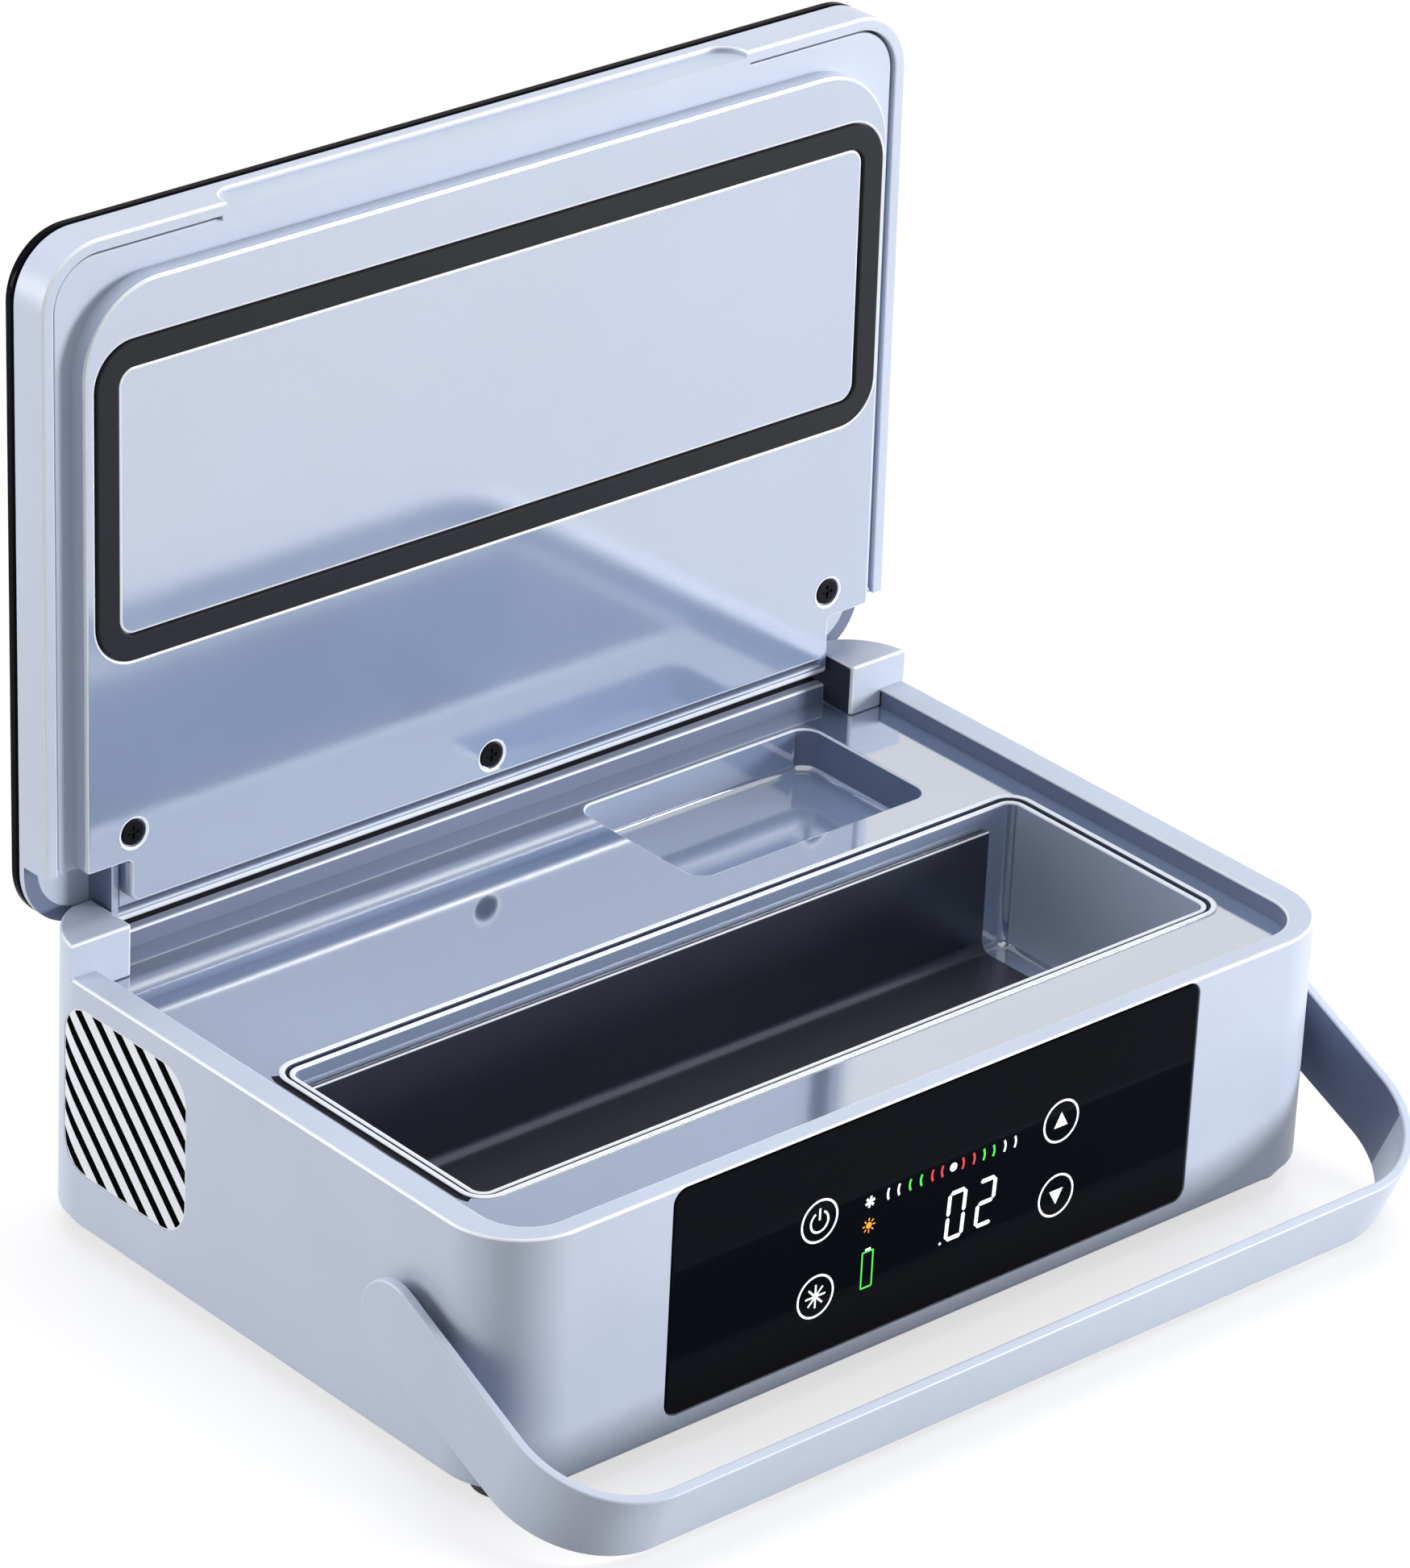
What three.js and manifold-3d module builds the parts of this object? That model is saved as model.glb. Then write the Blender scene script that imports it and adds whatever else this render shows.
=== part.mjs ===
// Insulin cooling case: a flat blue case with a cold chamber under a hinged lid, a black touch
// panel in its front, a fan behind a slotted vent on its left and a strap handle that swings
// over the lid. Units are millimetres. +Z is up, +X is to the right and the hinge is at +Y.
// The case stands on Z = 0, and the whole object at rest is centred on X and Y.
// At rest the lid stands open on its stop and the handle is lowered to the front.

import * as THREE from 'three';
import { mergeVertices } from 'three/addons/utils/BufferGeometryUtils.js';
import Module from 'manifold-3d';

const wasm = await Module();
wasm.setup();

// Clearances and mesh fineness
const gap = 0.3;
const overrun = 1;
const weldDistance = 0.0001;
const arcSteps = 6;
const slotSteps = 4;
const rodSides = 24;
const smallRodSides = 12;

// Case shell
const caseWidth = 230;
const caseDepth = 153.5;
const caseCorner = 17;
const shellHeight = 56.2;
const shellWall = 2.6;
const edgeRound = 0.6;
const rimSide = 6.8;
const rimFront = 4.7;
const rimRear = 5.9;
const rimThickness = 2.2;
const rimReturn = 1.8;
const rimCorner = 11;
const deckDrop = 4.3;
const bossRadius = 3.6;
const bossInset = 7;
const bossRib = 1.6;

// Feet, bottom cover and the screws under the feet
const footRadius = 7;
const footHeight = 3.2;
const footSocket = 0.5;
const coverThickness = 1.7;
const coverInset = 1.5;
const coverRing = 1.5;
const coverRingHeight = 3;
const pillarRadius = 5;
const pillarHeight = 4.2;
const intakeCount = 12;
const intakePitch = 6;
const intakeWidth = 2.6;
const intakeLength = 30;
const caseScrewShank = 1.4;
const caseScrewHead = 2.8;
const caseScrewHeadHeight = 1.6;
const caseScrewLength = 14;

// Deck with the chamber mouth and the storage tray
const deckThickness = 2.2;
const mouthLeftInset = 13.2;
const mouthRightInset = 11;
const mouthFrontInset = 23.95;
const mouthBackInset = 62.75;
const mouthCorner = 6;
const lipHeight = 0.4;
const lipWidth = 1.3;
const lipGroove = 0.5;
const trayRightInset = 26.3;
const trayWidth = 66.4;
const trayBackInset = 12.95;
const trayLength = 39.9;
const trayDepth = 10;
const trayCorner = 6;
const trayWall = 1.8;

// Cold chamber
const tubWall = 1.6;
const tubFloor = 2;
const tubDepth = 35.2;
const tubSink = 0.4;
const tubFlange = 2.4;
const tubFlangeThickness = 1.6;
const coldPlateThickness = 1.5;
const coldPlateBend = 4;
const coldPlateTopInset = 4.3;
const coldPlateLeftInset = 2.6;
const coldPlateRightInset = 7.8;
const coldPlateFrontInset = 1;
const foamSide = 4.4;
const foamFront = 8;
const foamBack = 2.2;
const foamCorner = 5;
const sensorRightInset = 75;
const sensorWidth = 6;
const sensorLength = 12;
const sensorThickness = 3;

// Thermoelectric cooler, heat sink and fan
const coolerSize = 40;
const coolerThickness = 3.6;
const coldBlockWidth = 40;
const coldBlockHeight = 20;
const coldBlockProud = 0.3;
const sinkBase = 3;
const sinkFanGap = 4;
const sinkHolderGap = 11;
const sinkHeight = 40;
const finDepth = 36;
const finThickness = 1.2;
const finCount = 9;
const fanSize = 40;
const fanDepth = 10;
const fanCorner = 3;
const fanBore = 19;
const fanMountHole = 1.7;
const fanMountInset = 4;
const fanHub = 9.5;
const fanHubSkin = 2;
const fanRotorInset = 0.8;
const fanStrut = 2;
const fanBush = 3;
const fanShaft = 1.2;
const bladeCount = 7;
const bladeChord = 8;
const bladeThickness = 0.9;
const bladeCurve = 12;
const bladeTipGap = 1;
const bladePitch = THREE.MathUtils.degToRad(52);

// Left vent
const ventBackInset = 12.75;
const ventWidth = 40.8;
const ventBottom = 12.3;
const ventHeight = 38.3;
const ventCorner = 8;
const ventSlotWidth = 2.2;
const ventSlotPitch = 4.97;
const ventSlotCount = 10;
const ventSlotShift = 0.85;
const ventSlotAngle = THREE.MathUtils.degToRad(45.8);

// Battery, main board and power inlet
const holderRightInset = 18;
const holderEnd = 2;
const holderSide = 0.6;
const holderFloor = 2;
const holderRise = 22.3;
const cradleDrop = 5;
const cellRadius = 9.1;
const cellLength = 65;
const cellCount = 3;
const cellPitch = 18.5;
const cellEndGap = 2.5;
const cellCap = 3;
const cellCapHeight = 1;
const boardThickness = 1.6;
const transformerSize = 14;
const transformerHeight = 9;
const chipSize = 9;
const chipHeight = 1.4;
const capacitorRadius = 4;
const capacitorHeight = 10;
const capacitorPitch = 10;
const partInset = 10;
const inletInset = 14;
const inletSize = 10;
const inletDepth = 11.8;
const inletNose = 3.9;
const inletBore = 2.8;
const inletBoreDepth = 9;
const inletPin = 0.95;
const inletPinInset = 1;

// Front panel, display and touch keys
const lensWidth = 143.4;
const lensThickness = 1.5;
const lensCorner = 3;
const lensTopInset = 0.8;
const lensBottomInset = 3.6;
const windowSide = 6.5;
const windowBottom = 5;
const windowTop = 8.8;
const panelPostRadius = 2.2;
const panelPostLength = 4;
const panelPostInset = 3.2;
const displayWidth = 48;
const displayHeight = 29;
const displayRise = 8.8;
const keyX = 33.3;
const keyHigh = 31.6;
const keyLow = 14;
const keyRadius = 4.9;

// Lid hinge
const hingeInset = 2.35;
const hingeLift = 5.2;
const hingePinRadius = 1.1;
const hingePinInPost = 3.2;
const hingePostWidth = 15.6;
const hingePostDepth = 15.25;
const openAngle = THREE.MathUtils.degToRad(91.2);

// Lid
const lidSkirt = 9.7;
const lidTopWall = 1.9;
const lidCorner = 14;
const lidPlateThickness = 2.3;
const lidPlateRound = 0.5;
const lidRim = 2.9;
const lidNotchGap = 0.8;
const lidEar = 1.7;
const lidSwingRound = 2;
const ledgeGap = 0.7;
const ledgeRise = 0.9;
const ledgeThickness = 1.5;
const plateauDrop = 3.4;
const plateauSide = 7.7;
const plateauFront = 9.5;
const plateauCorner = 19;
const plateauFace = 1.8;
const plateauWall = 1.2;
const tongueEarGap = 1;
const tongueHingeGap = 4;
const tongueRound = 1.1;
const tongueCorner = 6;
const lidFoamInset = 2;
const lidFoamHingeGap = 25;
const gasketWidth = 5.6;
const gasketLeftOverhang = 2.7;
const gasketRightOverhang = 1.9;
const gasketFrontOverhang = 2;
const gasketBackOverhang = 1.2;
const gasketCorner = 9.5;
const gasketProud = 0.5;
const gasketGroove = 1;
const lidScrewShank = 1.4;
const lidScrewHead = 3;
const lidScrewHeadHeight = 0.6;
const lidScrewSeat = 1.2;
const lidScrewChamfer = 0.4;
const lidScrewLength = 6;
const lidBossWall = 1.2;
const lidScrewSideInset = 19.7;
const lidScrewHingeGap = 19.9;
const middleScrewHingeGap = 8.8;
const recessLength = 138;
const recessHeight = 6.4;
const recessDepth = 1.4;
const recessCorner = 5.5;
const recessBacking = 1.1;

// Handle
const handlePivotFront = 28.15;
const handlePivotHeight = 33.8;
const handleReach = 62.2;
const handleThickness = 2.3;
const handleSideGap = 3;
const handleCorner = 24;
const handleEndRadius = 9.3;
const handleEndRise = 1.2;
const handleBarWidth = 17.2;
const handleDrop = THREE.MathUtils.degToRad(23.5);
const pivotRadius = 4;
const pivotFlange = 7;
const pivotSpigot = 3;
const pivotSeat = 1;
const pivotTail = 1.8;
const clipThickness = 1.2;
const clipRadius = 6.5;
const clipGroove = 1;
const clipMouth = 5.4;

// Levels and faces that several pieces share
const left = -caseWidth / 2;
const right = caseWidth / 2;
const front = -caseDepth / 2;
const back = caseDepth / 2;
const coverTop = footHeight + coverThickness;
const shellBottom = coverTop + gap;
const rimTop = shellBottom + shellHeight;
const deckTop = rimTop - deckDrop;
const deckBottom = deckTop - deckThickness;
const pillarTop = coverTop + pillarHeight;
const socketTop = footHeight + footSocket;
const caseScrewBottom = socketTop + gap;
const caseScrewSeat = caseScrewBottom + caseScrewHeadHeight;
const caseScrewTop = caseScrewSeat + caseScrewLength;
const wallLeft = left + shellWall;
const wallRight = right - shellWall;
const wallFront = front + shellWall;
const wallBack = back - shellWall;
const sides = [-1, 1];

// The hinge axis runs along X, and the posts stand at the case's rear corners
const hingeY = back - hingeInset;
const hingeZ = rimTop + hingeLift;
const postInner = right - hingePostWidth;
const postFront = back - hingePostDepth;

// The chamber's outlines step inwards from the raised lip to the tub
const lip = {
  left: left + mouthLeftInset,
  right: right - mouthRightInset,
  front: front + mouthFrontInset,
  back: back - mouthBackInset,
};
const tubInset = lipWidth + lipGroove;
const tubInsideInset = tubInset + tubWall;
const lipTop = deckTop + lipHeight;
const tubTop = lipTop - tubSink;
const tubInsideBottom = tubTop - tubDepth;
const tubBottom = tubInsideBottom - tubFloor;
const flangeTop = deckBottom - gap;
const flangeBottom = flangeTop - tubFlangeThickness;
const tubInsideBack = lip.back - tubInsideInset;
const coldPlateBack = tubInsideBack - gap;

// The stack behind the chamber runs backwards: foam, cold block, cooler, heat sink
const foamRear = lip.back - tubInset + gap + foamBack;
const coldBlockBack = foamRear + coldBlockProud;
const coolerFront = coldBlockBack + gap;
const coolerBack = coolerFront + coolerThickness;
const sinkFront = coolerBack + gap;
const coolerMiddle = deckBottom - gap - coolerSize / 2;

// The fan stands behind the vent, in front of the rear screw boss
const screwX = right - caseCorner + bossInset * Math.SQRT1_2;
const screwY = back - caseCorner + bossInset * Math.SQRT1_2;
const fanOuter = wallLeft + gap;
const fanInner = fanOuter + fanDepth;
const fanY = screwY - bossRadius - gap - fanSize / 2;
const fanZ = deckBottom - gap - fanSize / 2;

// The cells lie along X in their holder, and the main board rests on its end walls
const holderBottom = coverTop + gap;
const holderFront = foamRear + gap;
const holderTop = holderBottom + holderRise;
const holderRight = right - holderRightInset;
const holderLeft = holderRight - 2 * (holderEnd + cellEndGap) - cellLength;
const cellZ = holderBottom + holderFloor + gap + cellRadius;
const cellFirstY = holderFront + holderSide + gap + cellRadius;
const holderBack = cellFirstY + (cellCount - 1) * cellPitch + cellRadius + gap + holderSide;
const boardBottom = holderTop + gap;
const boardTop = boardBottom + boardThickness;
const inletX = holderRight - inletInset;
const inletZ = boardTop + gap + inletSize / 2;

// The heat sink fills the room between the fan and the cells, and the cooler sits at its middle
const sinkLeft = fanInner + sinkFanGap;
const sinkRight = holderLeft - sinkHolderGap;
const coolerX = (sinkLeft + sinkRight) / 2;

// The front panel fills a shallow recess, and the display board is held on posts behind it
const lensBack = front + lensThickness;
const lensBottom = shellBottom + lensBottomInset;
const lensTop = rimTop - lensTopInset;
const panelPostEnd = wallFront + panelPostLength;
const keyPlaces = {
  touch_pad_power: [-keyX, lensBottom + keyHigh],
  touch_pad_cool: [-keyX, lensBottom + keyLow],
  touch_pad_up: [keyX, lensBottom + keyHigh],
  touch_pad_down: [keyX, lensBottom + keyLow],
};

// The lid is described closed, on top of the case
const lidBottom = rimTop + gap;
const lidTop = lidBottom + lidSkirt;
const lidRoof = lidTop - lidTopWall;
const notchX = postInner - lidNotchGap;
const notchY = postFront - lidNotchGap;
const ledgeBottom = lidBottom + ledgeRise;
const ledgeTop = ledgeBottom + ledgeThickness;
const plateauBottom = lidBottom - plateauDrop;
const plateauTop = plateauBottom + plateauFace;
const tongueX = notchX - lidEar - tongueEarGap;
const tongueBack = hingeY - tongueHingeGap;
const lidScrewPlaces = [
  [left + lidScrewSideInset, hingeY - lidScrewHingeGap],
  [right - lidScrewSideInset, hingeY - lidScrewHingeGap],
  [0, hingeY - middleScrewHingeGap],
];

// The handle turns on stubs in the case's side walls
const handleInner = right + handleSideGap;
const handleOuter = handleInner + handleThickness;
const pivotY = front + handlePivotFront;
const pivotZ = handlePivotHeight;
const clipOuter = wallRight - gap;
const clipInner = clipOuter - clipThickness;

function arc(x, y, radius, from, to, steps = arcSteps) {
  return Array.from({ length: steps + 1 }, (unused, step) => {
    const angle = from + (to - from) * step / steps;
    return new THREE.Vector2(x + radius * Math.cos(angle), y + radius * Math.sin(angle));
  });
}

// A rectangle with round corners
function outline(x0, x1, y0, y1, lowRadius, highRadius = lowRadius) {
  const quarter = Math.PI / 2;
  return new THREE.Shape([
    ...arc(x1 - lowRadius, y0 + lowRadius, lowRadius, -quarter, 0),
    ...arc(x1 - highRadius, y1 - highRadius, highRadius, 0, quarter),
    ...arc(x0 + highRadius, y1 - highRadius, highRadius, quarter, 2 * quarter),
    ...arc(x0 + lowRadius, y0 + lowRadius, lowRadius, 2 * quarter, 3 * quarter),
  ]);
}

function caseOutline(inset, corner = caseCorner) {
  const radius = Math.max(corner - inset, gap);
  return outline(left + inset, right - inset, front + inset, back - inset, radius);
}

function rimOutline(outset) {
  const x = right - rimSide + outset;
  return outline(-x, x, front + rimFront - outset, back - rimRear + outset, rimCorner + outset);
}

function lipOutline(inset) {
  const radius = Math.max(mouthCorner - inset, gap);
  return outline(lip.left + inset, lip.right - inset, lip.front + inset, lip.back - inset, radius);
}

// Solids, joined and cut
function solid(geometry) {
  const plain = geometry.clone();
  plain.deleteAttribute('normal');
  plain.deleteAttribute('uv');
  const merged = mergeVertices(plain, weldDistance);
  const corners = merged.index.array;
  const triangles = [];
  for (let i = 0; i < corners.length; i += 3) {
    const [a, b, c] = corners.slice(i, i + 3);
    if (a !== b && b !== c && c !== a) triangles.push(a, b, c);
  }
  return new wasm.Manifold(new wasm.Mesh({
    numProp: 3,
    vertProperties: new Float32Array(merged.attributes.position.array),
    triVerts: new Uint32Array(triangles),
  }));
}

function join(...bodies) {
  return bodies.reduce((whole, body) => whole.add(body));
}

function cut(body, ...tools) {
  return tools.reduce((rest, tool) => rest.subtract(tool), body);
}

function surface(body) {
  const mesh = body.getMesh();
  const geometry = new THREE.BufferGeometry();
  geometry.setAttribute('position', new THREE.BufferAttribute(mesh.vertProperties, mesh.numProp));
  geometry.setIndex(new THREE.BufferAttribute(mesh.triVerts, 1));
  geometry.computeVertexNormals();
  return geometry;
}

// Extrusions along Z, X and Y, of shapes drawn in XY, YZ and XZ
function upright(shape, bottom, top, round = 0) {
  const geometry = new THREE.ExtrudeGeometry(shape, {
    depth: top - bottom - 2 * round,
    bevelEnabled: round > 0,
    bevelThickness: round,
    bevelSize: round,
    bevelOffset: -round,
    bevelSegments: 2,
  });
  geometry.translate(0, 0, bottom + round);
  return solid(geometry);
}

function across(shape, x0, x1) {
  const geometry = new THREE.ExtrudeGeometry(shape, { depth: x1 - x0, bevelEnabled: false });
  const turn = new THREE.Matrix4().makeBasis(
    new THREE.Vector3(0, 1, 0),
    new THREE.Vector3(0, 0, 1),
    new THREE.Vector3(1, 0, 0),
  );
  geometry.applyMatrix4(turn);
  geometry.translate(x0, 0, 0);
  return solid(geometry);
}

function inwards(shape, y0, y1) {
  const geometry = new THREE.ExtrudeGeometry(shape, { depth: y1 - y0, bevelEnabled: false });
  geometry.rotateX(Math.PI / 2);
  geometry.translate(0, y1, 0);
  return solid(geometry);
}

function block(x0, x1, y0, y1, z0, z1) {
  const geometry = new THREE.BoxGeometry(x1 - x0, y1 - y0, z1 - z0);
  geometry.translate((x0 + x1) / 2, (y0 + y1) / 2, (z0 + z1) / 2);
  return solid(geometry);
}

function rodZ(radius, x, y, z0, z1, facets = rodSides) {
  const geometry = new THREE.CylinderGeometry(radius, radius, z1 - z0, facets);
  geometry.rotateX(Math.PI / 2);
  geometry.translate(x, y, (z0 + z1) / 2);
  return solid(geometry);
}

function rodX(radius, y, z, x0, x1, facets = rodSides) {
  const geometry = new THREE.CylinderGeometry(radius, radius, Math.abs(x1 - x0), facets);
  geometry.rotateZ(Math.PI / 2);
  geometry.translate((x0 + x1) / 2, y, z);
  return solid(geometry);
}

function rodY(radius, x, z, y0, y1, facets = rodSides) {
  const geometry = new THREE.CylinderGeometry(radius, radius, y1 - y0, facets);
  geometry.translate(x, (y0 + y1) / 2, z);
  return solid(geometry);
}

// A block on the left or the right, given by its distances from the middle plane
function sideBlock(side, near, far, y0, y1, z0, z1) {
  return block(Math.min(side * near, side * far), Math.max(side * near, side * far), y0, y1, z0, z1);
}

function finish(colour, roughness, metalness = 0) {
  return new THREE.MeshStandardMaterial({ color: colour, roughness, metalness });
}

const satinBlue = () => finish(0xb9c6e0, 0.45);
const glossBlue = () => finish(0xa9bcd8, 0.15);
const glossBlack = () => finish(0x050507, 0.08);
const sealGrey = () => finish(0x3b3d43, 0.8);
const whiteFoam = () => finish(0xe9ebee, 0.95);
const darkMetal = () => finish(0x3a3c42, 0.25, 1);
const bareMetal = () => finish(0xb4b8bd, 0.4, 1);
const blackPlastic = () => finish(0x15161a, 0.6);
const greenBoard = () => finish(0x1d5a3a, 0.6);

function piece(name, body, material) {
  const mesh = new THREE.Mesh(surface(body), material);
  mesh.name = name;
  return mesh;
}

function screwPlaces() {
  return sides.flatMap((sideX) => sides.map((sideY) => [sideX * screwX, sideY * screwY]));
}

// Case shell: walls, rim with its return, hinge posts, screw bosses and panel posts
function caseWalls() {
  const body = upright(caseOutline(0), shellBottom, rimTop, edgeRound);
  const cavity = upright(caseOutline(shellWall), shellBottom - overrun, rimTop - rimThickness);
  const rimWall = upright(rimOutline(rimReturn), deckTop + gap, rimTop - rimThickness / 2);
  const mouth = upright(rimOutline(0), deckTop - overrun, rimTop + overrun);
  return cut(join(cut(body, cavity), rimWall), mouth);
}

function hingePost(side) {
  const postTop = hingeZ + hingeInset;
  const base = deckTop + gap;
  const corner = sideBlock(side, postInner, right, postFront, back, base, postTop);
  const profile = new THREE.Shape([
    new THREE.Vector2(postFront, base),
    new THREE.Vector2(back, base),
    ...arc(hingeY, hingeZ, hingeInset, 0, Math.PI / 2),
    new THREE.Vector2(postFront, postTop),
  ]);
  const body = upright(caseOutline(0), base, postTop).intersect(corner);
  const pinEnd = side * (postInner + hingePinInPost + gap);
  const pinStart = side * (postInner - overrun);
  return cut(
    body.intersect(across(profile, left, right)),
    rodX(hingePinRadius + gap, hingeY, hingeZ, pinStart, pinEnd, smallRodSides),
  );
}

function screwBoss([x, y]) {
  const bottom = pillarTop + gap;
  const top = deckBottom - gap;
  const reach = caseCorner - shellWall / 2 - bossInset;
  const rib = new THREE.BoxGeometry(reach, bossRib, top - bottom);
  rib.translate(reach / 2, 0, (top + bottom) / 2);
  rib.rotateZ(Math.atan2(Math.sign(y), Math.sign(x)));
  rib.translate(x, y, 0);
  return cut(
    join(rodZ(bossRadius, x, y, bottom, top, smallRodSides), solid(rib)),
    rodZ(caseScrewShank + gap, x, y, bottom - overrun, caseScrewTop + gap, smallRodSides),
  );
}

function lensRecess() {
  const x = lensWidth / 2 + gap;
  const shape = outline(-x, x, lensBottom - gap, lensTop + gap, lensCorner + gap);
  return inwards(shape, front - overrun, lensBack + gap);
}

function panelWindow() {
  const x = lensWidth / 2 - windowSide;
  const shape = outline(-x, x, lensBottom + windowBottom, lensTop - windowTop, lensCorner);
  return inwards(shape, front, wallFront + overrun);
}

function panelPosts() {
  const x = lensWidth / 2 - panelPostInset;
  const heights = [lensBottom + panelPostInset, deckBottom - gap - panelPostInset];
  return sides.flatMap((side) => heights.map((z) => (
    rodY(panelPostRadius, side * x, z, wallFront - gap, panelPostEnd, smallRodSides)
  )));
}

// The vent's slanted slots end on one rounded outline
function ventSlots() {
  const y0 = back - ventBackInset - ventWidth;
  const z0 = shellBottom + ventBottom;
  const ends = outline(y0, y0 + ventWidth, z0, z0 + ventHeight, ventCorner);
  const slots = Array.from({ length: ventSlotCount }, (unused, index) => {
    const shift = (index - (ventSlotCount - 1) / 2) * ventSlotPitch - ventSlotShift;
    const slot = new THREE.BoxGeometry(2 * caseCorner, ventWidth + ventHeight, ventSlotWidth);
    slot.translate(left, 0, shift);
    slot.rotateX(ventSlotAngle);
    slot.translate(0, y0 + ventWidth / 2, z0 + ventHeight / 2);
    return solid(slot);
  });
  return join(...slots).intersect(across(ends, left - overrun, wallLeft + overrun));
}

function pivotHole(side) {
  const inner = side * (wallRight - overrun);
  return rodX(pivotRadius + gap, pivotY, pivotZ, inner, side * (right + overrun), smallRodSides);
}

function baseShell() {
  const inletHole = rodY(inletNose + gap, inletX, inletZ, wallBack - overrun, back + overrun);
  const shell = cut(caseWalls(), lensRecess(), panelWindow(), ventSlots(), inletHole);
  const bosses = screwPlaces().map(screwBoss);
  const full = join(shell, ...sides.map(hingePost), ...bosses, ...panelPosts());
  return piece('base_shell', cut(full, ...sides.map(pivotHole)), satinBlue());
}

// Bottom cover with its locating ring, screw pillars, foot sockets and air intake
function intakeSlots() {
  const first = coolerX - (intakeCount - 1) * intakePitch / 2;
  const radius = intakeWidth / 2;
  const lowY = sinkFront + radius;
  const highY = sinkFront + intakeLength - radius;
  return Array.from({ length: intakeCount }, (unused, index) => {
    const x = first + index * intakePitch;
    const shape = new THREE.Shape([
      ...arc(x, highY, radius, 0, Math.PI, slotSteps),
      ...arc(x, lowY, radius, Math.PI, 2 * Math.PI, slotSteps),
    ]);
    return upright(shape, footHeight - overrun, coverTop + overrun);
  });
}

function bottomCover() {
  const ringInset = shellWall + gap;
  const plate = upright(caseOutline(coverInset), footHeight, coverTop);
  const ring = cut(
    upright(caseOutline(ringInset), footHeight, coverTop + coverRingHeight),
    upright(caseOutline(ringInset + coverRing), coverTop, coverTop + coverRingHeight + overrun),
  );
  const pillars = screwPlaces().map(([x, y]) => rodZ(pillarRadius, x, y, footHeight, pillarTop));
  const pockets = screwPlaces().map(([x, y]) => join(
    rodZ(footRadius + gap, x, y, footHeight - overrun, socketTop),
    rodZ(caseScrewHead + gap, x, y, footHeight, caseScrewSeat + gap, smallRodSides),
    rodZ(caseScrewShank + gap, x, y, footHeight, pillarTop + overrun, smallRodSides),
  ));
  const body = cut(join(plate, ring, ...pillars), ...pockets, ...intakeSlots());
  return piece('bottom_cover', body, satinBlue());
}

function feet() {
  const names = ['foot_front_left', 'foot_rear_left', 'foot_front_right', 'foot_rear_right'];
  return screwPlaces().map(([x, y], index) => (
    piece(names[index], rodZ(footRadius, x, y, 0, socketTop - gap), finish(0x2a2b2e, 0.9))
  ));
}

function baseScrews() {
  return screwPlaces().map(([x, y], index) => piece(`base_screw_${index + 1}`, join(
    rodZ(caseScrewHead, x, y, caseScrewBottom, caseScrewSeat, smallRodSides),
    rodZ(caseScrewShank, x, y, caseScrewBottom, caseScrewTop, smallRodSides),
  ), bareMetal()));
}

// Deck: the glossy plate under the rim, with the chamber's raised lip and the storage tray
function trayOutline(outset) {
  const y1 = back - trayBackInset + outset;
  const x1 = right - trayRightInset + outset;
  const x0 = x1 - trayWidth - 2 * outset;
  return outline(x0, x1, y1 - trayLength - 2 * outset, y1, trayCorner + outset);
}

function topDeck() {
  const trayBottom = deckTop - trayDepth;
  const plate = upright(caseOutline(shellWall + gap), deckBottom, deckTop);
  const lipRing = upright(lipOutline(0), deckBottom, lipTop);
  const trayShell = upright(trayOutline(trayWall), trayBottom - trayWall, deckTop);
  const mouth = upright(lipOutline(lipWidth), deckBottom - overrun, lipTop + overrun);
  const tray = upright(trayOutline(0), trayBottom, deckTop + overrun);
  return piece('top_deck', cut(join(plate, lipRing, trayShell), mouth, tray), glossBlue());
}

// Cold chamber: liner, cold plate, cold block and foam
function coldBlockHole() {
  const halfWidth = coldBlockWidth / 2 + gap;
  const halfHeight = coldBlockHeight / 2 + gap;
  return block(
    coolerX - halfWidth, coolerX + halfWidth, tubInsideBack - gap / 2, foamRear + overrun,
    coolerMiddle - halfHeight, coolerMiddle + halfHeight,
  );
}

function chamberLiner() {
  const tub = upright(lipOutline(tubInset), tubBottom, tubTop);
  const flange = upright(lipOutline(tubInset - tubFlange), flangeBottom, flangeTop);
  const inside = upright(lipOutline(tubInsideInset), tubInsideBottom, tubTop + overrun);
  return piece('chamber_liner', cut(join(tub, flange), inside, coldBlockHole()), glossBlue());
}

function coldPlate() {
  const y0 = lip.front + tubInsideInset + coldPlateFrontInset;
  const z0 = tubInsideBottom + gap;
  const z1 = lipTop - coldPlateTopInset;
  const bendY = coldPlateBack - coldPlateBend;
  const bendZ = z0 + coldPlateBend;
  const quarter = Math.PI / 2;
  const profile = new THREE.Shape([
    new THREE.Vector2(y0, z0),
    ...arc(bendY, bendZ, coldPlateBend, -quarter, 0),
    new THREE.Vector2(coldPlateBack, z1),
    new THREE.Vector2(coldPlateBack - coldPlateThickness, z1),
    ...arc(bendY, bendZ, coldPlateBend - coldPlateThickness, 0, -quarter),
    new THREE.Vector2(y0, z0 + coldPlateThickness),
  ]);
  const x0 = lip.left + tubInsideInset + coldPlateLeftInset;
  const x1 = lip.right - tubInsideInset - coldPlateRightInset;
  return piece('cold_plate', across(profile, x0, x1), darkMetal());
}

function coldBlock() {
  const body = block(
    coolerX - coldBlockWidth / 2, coolerX + coldBlockWidth / 2, tubInsideBack, coldBlockBack,
    coolerMiddle - coldBlockHeight / 2, coolerMiddle + coldBlockHeight / 2,
  );
  return piece('cold_block', body, bareMetal());
}

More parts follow.
